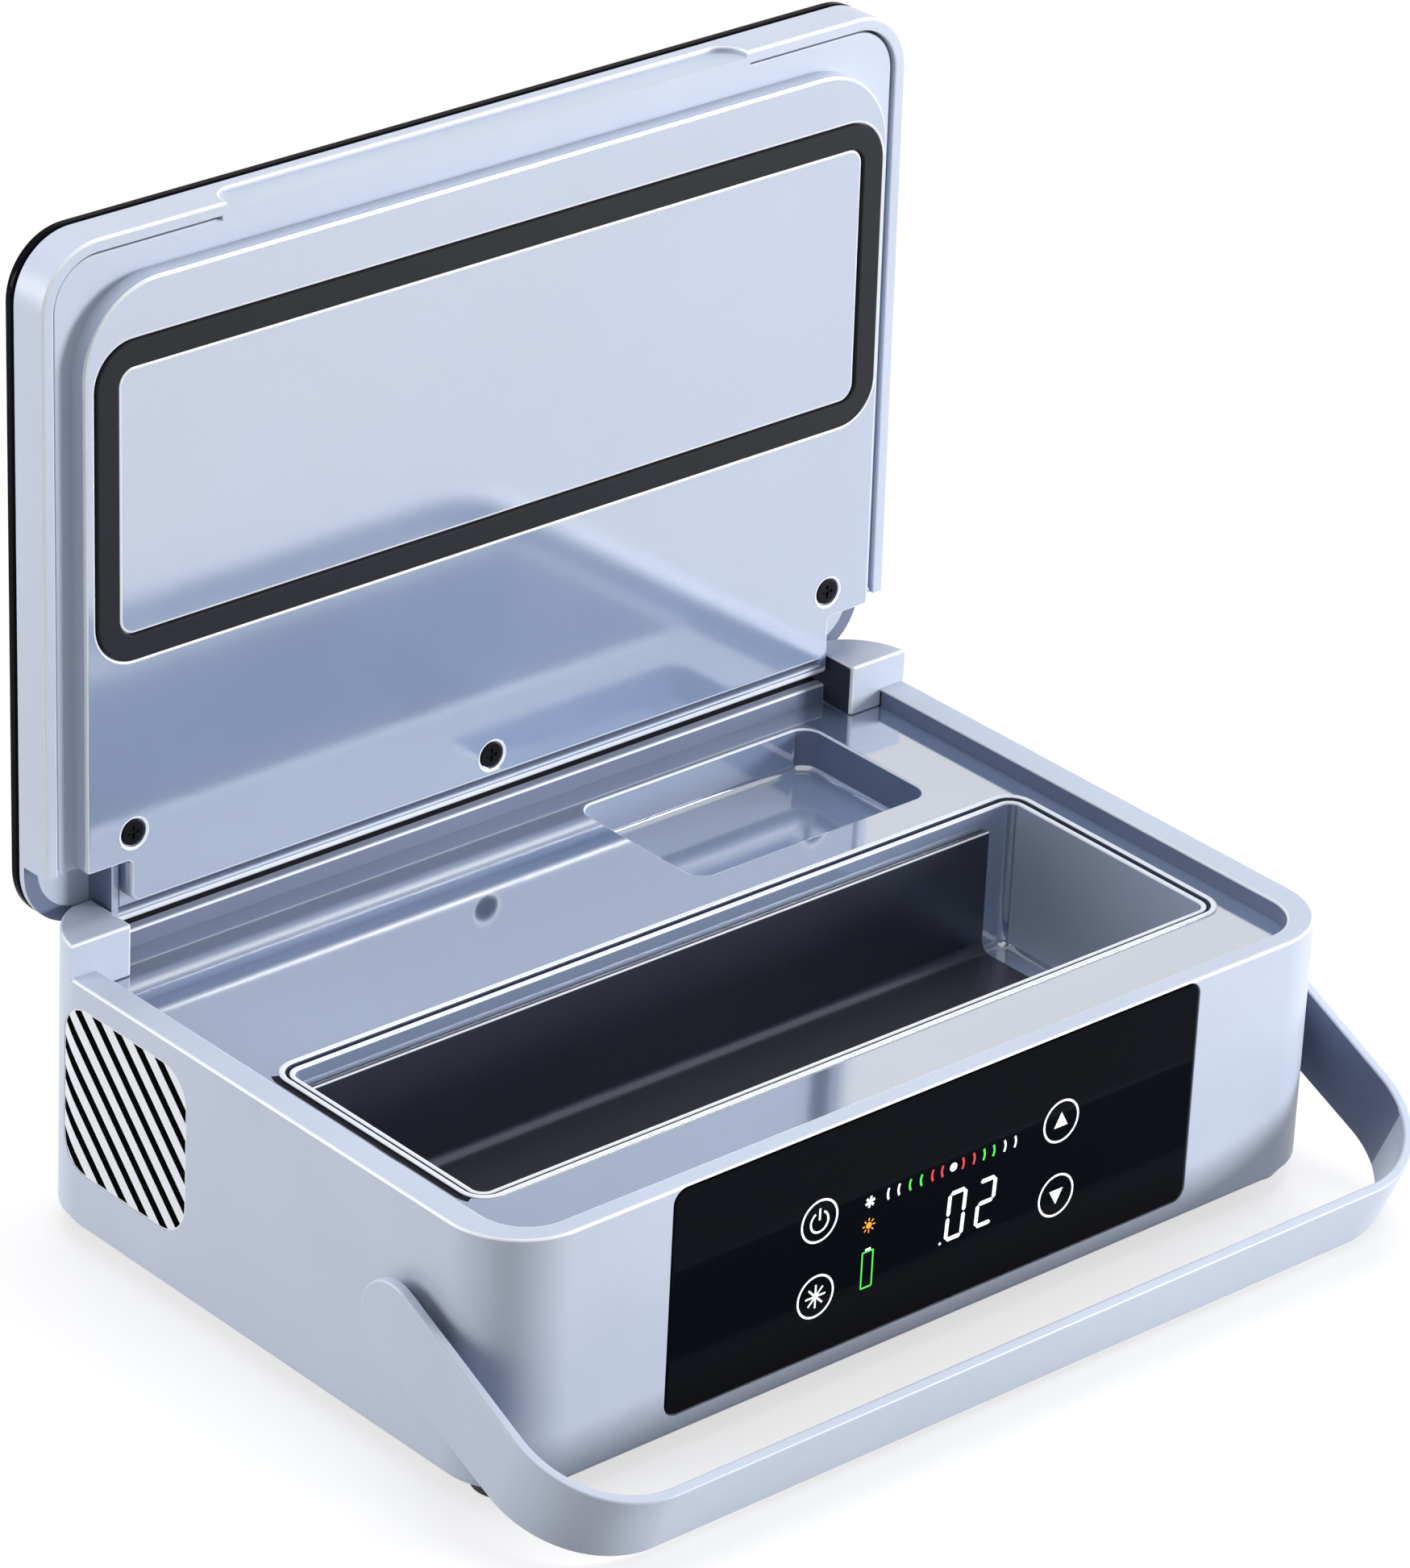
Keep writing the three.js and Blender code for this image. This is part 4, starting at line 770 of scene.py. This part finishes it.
def ledge_face(face):
    place = face.center
    inside = abs(place.x) < RIGHT and place.y < NOTCH_Y - 1.3
    return inside and place.z > PLATEAU_BOTTOM + 0.85 and face.normal.z < 0.5


def notch(side, x, y, z0, z1):
    """A cutter for the room round a hinge post."""
    return side_block(side, x, RIGHT + BEYOND, y, BACK + BEYOND, z0, z1)


def tongue_points():
    """The raised face's outline, with a tongue between the hinge posts."""
    x, y = PLATEAU_SIDE - PLATEAU_CORNER, PLATEAU_FRONT + PLATEAU_CORNER
    half = arc(x, y, PLATEAU_CORNER, -QUARTER, 0, 24)
    half += arc(PLATEAU_SIDE - STEP_CORNER, NOTCH_Y - STEP_CORNER, STEP_CORNER, 0, QUARTER, 6)
    half += arc(TONGUE_X + STEP_CORNER, NOTCH_Y + STEP_CORNER, STEP_CORNER, 3 * QUARTER, 2 * QUARTER, 6)
    half += arc(TONGUE_X - TONGUE_CORNER, TONGUE_BACK - TONGUE_CORNER, TONGUE_CORNER, 0, QUARTER, 8)
    return thin_out(half + [(-x, y) for x, y in reversed(half)], SEAM)


plateau_shape = convex_shape(tongue_points())


def lid_liner():
    ledge = loft(pillow(moved_in(lid_shape, LEDGE_INSET), LEDGE_BOTTOM, LEDGE_TOP, low_round=0.3))
    notches = [notch(side, TONGUE_X, NOTCH_Y, LEDGE_BOTTOM - BEYOND, LEDGE_TOP + BEYOND) for side in SIDES]
    plateau = quarter_round(plateau_shape, 0, PLATEAU_BOTTOM, 0.8, True)
    plateau += stations(plateau_shape, LEDGE_TOP, (0.01, -0.2))
    body = join(cut(ledge, *notches), loft(plateau))
    walls = [side_block(side, TONGUE_X - NOTCH_WALL, RIGHT - LID_RIM - GAP, NOTCH_Y - NOTCH_WALL, NOTCH_Y,
                        LEDGE_BOTTOM, LID_ROOF - GAP) for side in SIDES]
    body = join(body, *walls)
    inner = SEAL_WIDTH + GAP
    groove = stations(gasket_shape, PLATEAU_BOTTOM, (-0.8, -BEYOND), (-0.8, 0), (-GAP, 0.22), (-GAP, 1))
    groove += stations(gasket_shape, PLATEAU_BOTTOM, (inner, 1), (inner, 0.22))
    groove += stations(gasket_shape, PLATEAU_BOTTOM, (inner + 0.5, 0), (inner + 0.5, -BEYOND))
    pockets = []
    for x, y in LID_SCREWS:
        hole = disc_shape(x, y, 3.2)
        pockets.append(loft(stations(hole, PLATEAU_BOTTOM, (-0.6, -BEYOND), (-0.6, 0), (0, 0.3), (0, 1.2))))
    return cut(body, loft(groove, ring=True), *pockets)


def gasket():
    low, high, edge = PLATEAU_BOTTOM - 0.5, PLATEAU_BOTTOM + 0.7, 0.4
    levels = quarter_round(gasket_shape, 0, low, edge, True)
    levels += stations(gasket_shape, high, (0, 0), (SEAL_WIDTH, 0))
    levels += foot_round(gasket_shape, SEAL_WIDTH, low, -edge, edge)
    return loft(levels, ring=True)


def screw_head(x, y):
    """A sunk head with a cross recess, seen from below, and its shank."""
    top = PLATEAU_BOTTOM + 0.9
    low = top - 0.6
    head = loft(pillow(disc_shape(x, y, 2.8), low, top, low_round=0.25))
    body = join(head, rod(1.4, x, y, low + 0.3, top + 6, "z"))
    bars = ((1.5, 0.35), (0.35, 1.5))
    cross = [block(x - u, x + u, y - v, y + v, low - BEYOND, low + 0.35) for u, v in bars]
    return cut(body, *cross)


# Handle pieces, about the pivot
def strap():
    """The handle: the bent strip seen from above, cut to its rounded side view."""
    bend_x, bend_y = HANDLE_OUTER - HANDLE_CORNER, HANDLE_CORNER - HANDLE_REACH
    inner = HANDLE_CORNER - (HANDLE_OUTER - HANDLE_INNER)
    arm_end = HANDLE_END + BEYOND
    plan = arc(-bend_x, bend_y, HANDLE_CORNER, 2 * QUARTER, 3 * QUARTER, 24)
    plan += arc(bend_x, bend_y, HANDLE_CORNER, 3 * QUARTER, 4 * QUARTER, 24)
    plan += [(HANDLE_OUTER, arm_end), (HANDLE_INNER, arm_end)]
    plan += arc(bend_x, bend_y, inner, 4 * QUARTER, 3 * QUARTER, 24)
    plan += arc(-bend_x, bend_y, inner, 3 * QUARTER, 2 * QUARTER, 24)
    plan += [(-HANDLE_INNER, arm_end), (-HANDLE_OUTER, arm_end)]
    bend = loft([(plan, -HANDLE_WIDTH), (plan, HANDLE_WIDTH)])
    half, front = HANDLE_WIDTH / 2, -HANDLE_REACH - BEYOND
    profile = arc(0, HANDLE_RISE, HANDLE_END, -QUARTER, QUARTER, 32) + [(front, half), (front, -half)]
    side = loft([(profile, -HANDLE_OUTER - BEYOND), (profile, HANDLE_OUTER + BEYOND)], "x")
    return soften(common(bend, side), 0.55, segments=4)


# Painted shade: the inner faces of the handle's arms are painted darker
def strap_inside_shade(face):
    return abs(face.center.x) > 100 and face.center.x * face.normal.x < 0 and abs(face.normal.x) > 0.9


def pivot(side):
    """A washer between arm and wall, its stub through the wall, and its pin in the arm."""
    return join(*[side_rod(side, size, 0, 0) for size in (PIVOT_WASHER, PIVOT_STUB, PIVOT_PIN)])


# Panel icons, on the lens's face
FACE = FRONT - SEAM
MARK_DEPTH = 0.12
SEGMENTS = {"0": "abcdef", "2": "abged"}
STROKE, LEAN = 1.0, 0.06
KEYS = ((-32.6, 40.4), (-32.6, 22.8), (33.9, 40.5), (33.9, 22.9))  # power, cool, up and down
LEVEL_Z = 40.1
LEFT_MARKS_X = -18.9
WHITE_TICKS = ((-14.0, -1), (-11.1, -1), (18.2, 1), (21.1, 1))
GREEN_TICKS = ((-8.0, -1), (-5.0, -1), (12.4, 1), (15.1, 1))
RED_TICKS = ((-1.9, -1), (0.8, -1), (6.6, 1), (9.6, 1))


def plate_y(points):
    return loft([(points, FACE), (points, FACE + MARK_DEPTH)], "y")


def bar(x0, z0, x1, z1, width, point=0.0):
    """A straight stroke. Its ends are pointed where the length of a point is given."""
    start, end = Vector((x0, z0)), Vector((x1, z1))
    along = (end - start).normalized()
    aside = Vector((-along.y, along.x)) * width / 2
    tip = along * point
    if point:
        near, far = start + tip, end - tip
        corners = (start, near - aside, far - aside, end, far + aside, near + aside)
    else:
        corners = (start - aside, end - aside, end + aside, start + aside)
    return plate_y([tuple(corner) for corner in corners])


def spokes(x, z, near, far, count, width, whole=math.pi, first=0.0):
    """Strokes along lines through a point, from one distance to another."""
    parts = []
    for i in range(count):
        a = i * whole / count + first
        u, v = math.cos(a), math.sin(a)
        parts.append(bar(x + near * u, z + near * v, x + far * u, z + far * v, width))
    return parts


def dot(x, z, radius, steps):
    return plate_y(disc_shape(x, z, radius, steps)(0))


def band(x, z, outer, inner, start=0.0, end=2 * math.pi, steps=40):
    """A ring, or a piece of one."""
    if end - start < 2 * math.pi - 0.001:
        return plate_y(arc(x, z, outer, start, end, steps) + arc(x, z, inner, end, start, steps))
    far, near = disc_shape(x, z, outer, steps)(0), disc_shape(x, z, inner, steps)(0)
    top = FACE + MARK_DEPTH
    return loft([(far, FACE), (far, top), (near, top), (near, FACE)], "y", ring=True)


def digit(mark, x, z, width, height):
    """A seven-segment digit from its lower left corner."""
    half = height / 2
    spans = {
        "a": ((0, height), (width, height)), "g": ((0, half), (width, half)), "d": ((0, 0), (width, 0)),
        "f": ((0, half), (0, height)), "b": ((width, half), (width, height)),
        "e": ((0, 0), (0, half)), "c": ((width, 0), (width, half)),
    }
    parts = []
    for key in SEGMENTS[mark]:
        (u0, v0), (u1, v1) = spans[key]
        trim = 0.12 * STROKE / math.dist((u0, v0), (u1, v1))
        du, dv = (u1 - u0) * trim, (v1 - v0) * trim
        u0, v0, u1, v1 = u0 + du, v0 + dv, u1 - du, v1 - dv
        parts.append(bar(x + u0 + LEAN * v0, z + v0, x + u1 + LEAN * v1, z + v1, STROKE, 0.45 * STROKE))
    return parts


def tick(x, side):
    """A short curved stroke of the level scale, hollow towards its middle."""
    middle = 0 if side > 0 else math.pi
    return band(x - side * 2.6, LEVEL_Z, 3.0, 2.45, middle - 0.5, middle + 0.5, 10)


def white_marks():
    """The four keys, the two digits with their point, and the white marks of the level scale."""
    parts = [band(x, z, 5.0, 4.5) for x, z in KEYS]
    (power_x, power_z), (cool_x, cool_z) = KEYS[:2]
    parts.append(band(power_x, power_z - 0.2, 2.6, 2.1, QUARTER + 0.5, 5 * QUARTER - 0.5, 28))
    parts.append(bar(power_x, power_z + 0.2, power_x, power_z + 2.9, 0.5))
    parts += spokes(cool_x, cool_z, -2.7, 2.7, 4, 0.45)
    parts.append(plate_y([(32.0, 39.2), (35.8, 39.2), (33.9, 42.6)]))
    parts.append(plate_y([(32.0, 24.2), (33.9, 20.8), (35.8, 24.2)]))
    parts += digit("0", 2.9, 23.2, 4.3, 10.6)
    parts += digit("2", 11.2, 23.4, 4.3, 10.3)
    parts.append(dot(1.4, 22.9, 0.35, 12))
    parts.append(dot(3.9, LEVEL_Z, 1.0, 24))
    parts += [tick(x, side) for x, side in WHITE_TICKS]
    parts += spokes(LEFT_MARKS_X, 40.0, -1.3, 1.3, 3, 0.6, first=0.3)
    parts.append(bar(-19.5, 28.9, -18.0, 28.9, 0.5))
    return merge(*parts)


def level_marks(places):
    return merge(*[tick(x, side) for x, side in places])


def battery_mark():
    x0, x1, z0, z1 = -20.2, -17.3, 20.0, 28.4
    sides = ((x0, z0, x0, z1), (x1, z0, x1, z1), (x0, z0, x1, z0), (x0, z1, x1, z1))
    return merge(*[bar(*side, 0.4) for side in sides])


def sun_mark():
    x, z = LEFT_MARKS_X, 34.5
    return merge(dot(x, z, 0.75, 20), *spokes(x, z, 1.05, 1.7, 8, 0.3, whole=2 * math.pi))


light_white = moulded("light_white", srgb(235, 238, 240), 0.3, emission=0.75)
light_green = moulded("light_green", srgb(70, 200, 70), 0.3, emission=0.7)
light_red = moulded("light_red", srgb(200, 50, 60), 0.3, emission=0.7)
light_orange = moulded("light_orange", srgb(235, 150, 50), 0.3, emission=0.8)


# Underside
def bottom_cover():
    """The cover with its upright border, the intake's slots and the sinks for the feet."""
    body = loft(pillow(moved_in(case_shape, 1.5), COVER_BOTTOM, COVER_TOP, low_round=0.6))
    low, high = COVER_TOP - 0.1, COVER_TOP + 3.0
    border = stations(case_shape, 0, (2.9, low), (2.9, high), (4.4, high), (4.4, low))
    body = join(body, loft(border, ring=True))
    below = 2 - COVER_BOTTOM
    tools = []
    for index in range(INTAKE_COUNT):
        x = INTAKE_X + (index - (INTAKE_COUNT - 1) / 2) * INTAKE_PITCH
        slot = frame_shape(x - INTAKE_HALF, x + INTAKE_HALF, 19.2, 49.2, INTAKE_HALF, steps=6)
        steps = ((-0.4, below), (-0.4, 0), (-0.1, 0.1), (0, 0.4), (0, 5.8))
        tools.append(loft(stations(slot, COVER_BOTTOM, *steps)))
    for sx in SIDES:
        for sy in SIDES:
            hole = disc_shape(sx * SCREW_X, sy * SCREW_Y, FOOT_RADIUS + GAP)
            tools.append(loft(stations(hole, COVER_BOTTOM, (-0.3, below), (-0.3, 0), (0, 0.3), (0, 0.5))))
    return cut(body, *tools)


def foot(x, y):
    """A rubber foot with a shallow hollow in its sole."""
    disc = disc_shape(x, y, FOOT_RADIUS, 40)
    levels = stations(disc, 0, (3.0, 0.5), (2.6, 0)) + quarter_round(disc, 0, 0, 0.7, True)
    return loft(levels + stations(disc, 0, (0, 3.4)))


# Build everything
# Pale paint on round edges is a painted highlight; the slate, side and deep shade paints are painted shade;
# the chamber's right wall is painted lighter
piece("case_shell", case_shell(), satin_blue, "case", ["base_shell"], paint=[
    (painted_highlight_blue, rim_edge), (painted_shade_blue, rim_wall_shade), (deep_shade, hinge_gap_shade),
    (painted_highlight_blue, vent_bar), (deep_shade, slot_wall_shade), (side_shade, post_side_shade), (painted_highlight_blue, post_edge),
])
piece("deck", deck(), deck_blue, "case", ["top_deck"], paint=[
    (gloss_blue, tray_inside), (painted_shade_blue, tray_right_shade), (deep_shade, lip_shadow), (painted_highlight_blue, deck_edge),
])
piece("chamber", chamber(), gloss_blue, "case", ["chamber_liner"],
      paint=[(satin_blue, chamber_right_lightened), (side_shade, tub_groove_shade), (painted_highlight_blue, tub_edge)])
piece("chamber_plate", cold_plate(), dark_metal, "case", ["cold_plate"],
      paint=[(painted_highlight_blue, plate_edge)])
lens = loft(stations(lens_shape, FRONT, (0.5, 0), (0.12, 0.1), (0, 0.4), (0, 1.5)), "y")
piece("panel_lens", lens, gloss_black, "case", ["display_lens"])
piece("underside", bottom_cover(), satin_blue, "case", ["bottom_cover"])
for sx, across in zip(SIDES, ("left", "right")):
    for sy, along in zip(SIDES, ("front", "rear")):
        node = f"foot_{along}_{across}"
        piece(node + "_pad", foot(sx * SCREW_X, sy * SCREW_Y), foot_rubber, "case", [node])
for side, word in zip(SIDES, ("left", "right")):
    pin = side_rod(side, HINGE_PIN, HINGE_Y, HINGE_Z)
    piece("pin_" + word, pin, steel, "case", ["hinge_pin_" + word])
    piece("pivot_" + word, pivot(side), pivot_plastic, "handle", ["handle_pivot_" + word])

piece("lid_body", lid_shell(), satin_blue, "lid", ["lid_shell"], paint=[
    (gloss_blue, tongue_strip), (painted_highlight_blue, skirt_edge), (painted_shade_blue, notch_shade), (painted_highlight_blue, recess_edge),
])
piece("lid_face", lid_liner(), gloss_blue, "lid", ["lid_liner"],
      paint=[(satin_blue, ledge_face), (painted_highlight_blue, face_edge)])
piece("lid_seal", gasket(), seal_rubber, "lid", ["lid_gasket"])
plate = loft(pillow(lid_shape, LID_TOP + GAP, LID_TOP + GAP + TOP_PLATE, 0.5, 0.5))
piece("lid_plate", plate, gloss_black, "lid", ["lid_top_plate"])
for number, place in enumerate(LID_SCREWS, 1):
    node = f"lid_screw_{number}"
    piece(f"screw_lid_{number}", screw_head(*place), black_steel, "lid", [node])
piece("handle_strap", strap(), satin_blue, "handle", ["handle"],
      paint=[(painted_shade_blue, strap_inside_shade)])

piece("marks_white", white_marks(), light_white, "case")
green = merge(level_marks(GREEN_TICKS), battery_mark())
piece("marks_green", green, light_green, "case")
piece("marks_red", level_marks(RED_TICKS), light_red, "case")
piece("mark_sun", sun_mark(), light_orange, "case")

# Nodes of the CAD model that keep their shape and get a material
CARRIED = {
    "insulation_foam": foam_white, "lid_foam": foam_white, "cold_block": bare_metal, "heat_sink": bare_metal,
    "peltier_module": white_ceramic, "fan_frame": black_plastic, "fan_rotor": black_plastic,
    "battery_holder": black_plastic, "dc_inlet": black_plastic, "led_display": black_plastic,
    "temperature_sensor": black_plastic, "battery_cell_1": cell_sleeve, "battery_cell_2": cell_sleeve,
    "battery_cell_3": cell_sleeve, "main_board": green_mask, "display_board": green_mask,
    "base_screw_1": steel, "base_screw_2": steel, "base_screw_3": steel, "base_screw_4": steel,
    "handle_clip_left": steel, "handle_clip_right": steel, "touch_pad_power": seal_rubber,
    "touch_pad_cool": seal_rubber, "touch_pad_up": seal_rubber, "touch_pad_down": seal_rubber,
}
for node, material in CARRIED.items():
    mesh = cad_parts[node].data
    mesh.materials.clear()
    mesh.materials.append(material)


# Studio
WHITE = (1, 1, 1, 1)
FLOOR_COLOUR, FLOOR_GLOW, FLOOR_HALF = (0.36, 0.36, 0.365, 1), 0.66, 6
SKY_COLOUR, SKY_STRENGTH = (0.98, 0.99, 1.0, 1), 0.32


def seen_or_mirrored(nodes, links):
    """1 for rays from the camera, a reflection or a clear part, and 0 for the light on the case."""
    path = nodes.new("ShaderNodeLightPath")
    value = path.outputs["Is Camera Ray"]
    for other in ("Is Glossy Ray", "Is Transmission Ray"):
        either = nodes.new("ShaderNodeMath")
        either.operation = "MAXIMUM"
        links.new(value, either.inputs[0])
        links.new(path.outputs[other], either.inputs[1])
        value = either.outputs[0]
    return value


def floor_material():
    """Nearly white to the eye, and darker to the light that it throws back on the case."""
    material = bpy.data.materials.new("pale_floor")
    material.use_nodes = True
    nodes, links = material.node_tree.nodes, material.node_tree.links
    shader = nodes["Principled BSDF"]
    settings(shader, {"Roughness": 0.9, "Base Color": FLOOR_COLOUR, "Emission Color": WHITE})
    glow = nodes.new("ShaderNodeMath")
    glow.operation = "MULTIPLY"
    glow.inputs[1].default_value = FLOOR_GLOW
    links.new(seen_or_mirrored(nodes, links), glow.inputs[0])
    links.new(glow.outputs[0], shader.inputs["Emission Strength"])
    return material


floor_mesh = bpy.data.meshes.new("floor")
corners = [(x * FLOOR_HALF, y * FLOOR_HALF, 0) for x, y in ((-1, -1), (1, -1), (1, 1), (-1, 1))]
floor_mesh.from_pydata(corners, [], [(0, 1, 2, 3)])
floor_mesh.materials.append(floor_material())
floor = add_object("floor", floor_mesh)

world = bpy.data.worlds.new("studio")
bpy.context.scene.world = world
world.use_nodes = True
nodes, links = world.node_tree.nodes, world.node_tree.links
sky = nodes["Background"]
settings(sky, {"Color": SKY_COLOUR, "Strength": SKY_STRENGTH})
white = nodes.new("ShaderNodeBackground")
settings(white, {"Color": WHITE, "Strength": 1.0})
mix = nodes.new("ShaderNodeMixShader")
links.new(seen_or_mirrored(nodes, links), mix.inputs["Fac"])
links.new(sky.outputs[0], mix.inputs[1])
links.new(white.outputs[0], mix.inputs[2])
links.new(mix.outputs[0], nodes["World Output"].inputs["Surface"])


def softbox(name, place, target, size, power, mirrored=True):
    """A rectangular lamp, which glossy surfaces mirror or not."""
    lamp = bpy.data.lights.new(name, "AREA")
    lamp.shape = "RECTANGLE"
    lamp.size, lamp.size_y = size
    lamp.energy = power
    thing = add_object(name, lamp)
    thing.location = place
    thing.rotation_euler = (Vector(target) - Vector(place)).to_track_quat("-Z", "Y").to_euler()
    thing.visible_glossy = mirrored


# The top lamp's mirror image would bleach the deck as seen from above
softbox("left", place=(-1.2, 0.8, 0.4), target=(0, 0, 0.03), size=(0.7, 0.6), power=12)
softbox("top", place=(0.3, 0.3, 1.7), target=(0, 0, 0.05), size=(1.2, 1.0), power=19, mirrored=False)
softbox("front", place=(1.1, -1.3, 0.28), target=(0, 0, 0.05), size=(0.5, 0.4), power=27)

# Camera at the photograph's viewing angle: distances in millimetres, focal length in the photo's pixels
AZIMUTH, ELEVATION, ROLL = math.radians(-42.45), math.radians(27.29), math.radians(2.82)
DISTANCE = 1585.4
LENS_PIXELS, SENSOR, PHOTO_HEIGHT = 9578.35, 36.0, 1945
AIM = (0.83, 0, 96.27)
aim = to_row @ Vector(AIM)
flat = math.cos(ELEVATION)
back = Vector((math.sin(AZIMUTH) * flat, -math.cos(AZIMUTH) * flat, math.sin(ELEVATION)))
level_right = Vector((math.cos(AZIMUTH), math.sin(AZIMUTH), 0))
level_up = back.cross(level_right)
right = level_right * math.cos(ROLL) + level_up * math.sin(ROLL)
up = level_up * math.cos(ROLL) - level_right * math.sin(ROLL)
eye = bpy.data.cameras.new("camera")
eye.sensor_width = SENSOR
eye.lens = LENS_PIXELS * SENSOR / PHOTO_HEIGHT
eye.clip_end = 50
camera = add_object("camera", eye)
turned = Matrix((right, up, back)).transposed().to_4x4()
camera.matrix_world = Matrix.Translation(aim + back * DISTANCE * MM) @ turned
bpy.context.scene.camera = camera
bpy.context.scene.view_settings.view_transform = "Standard"
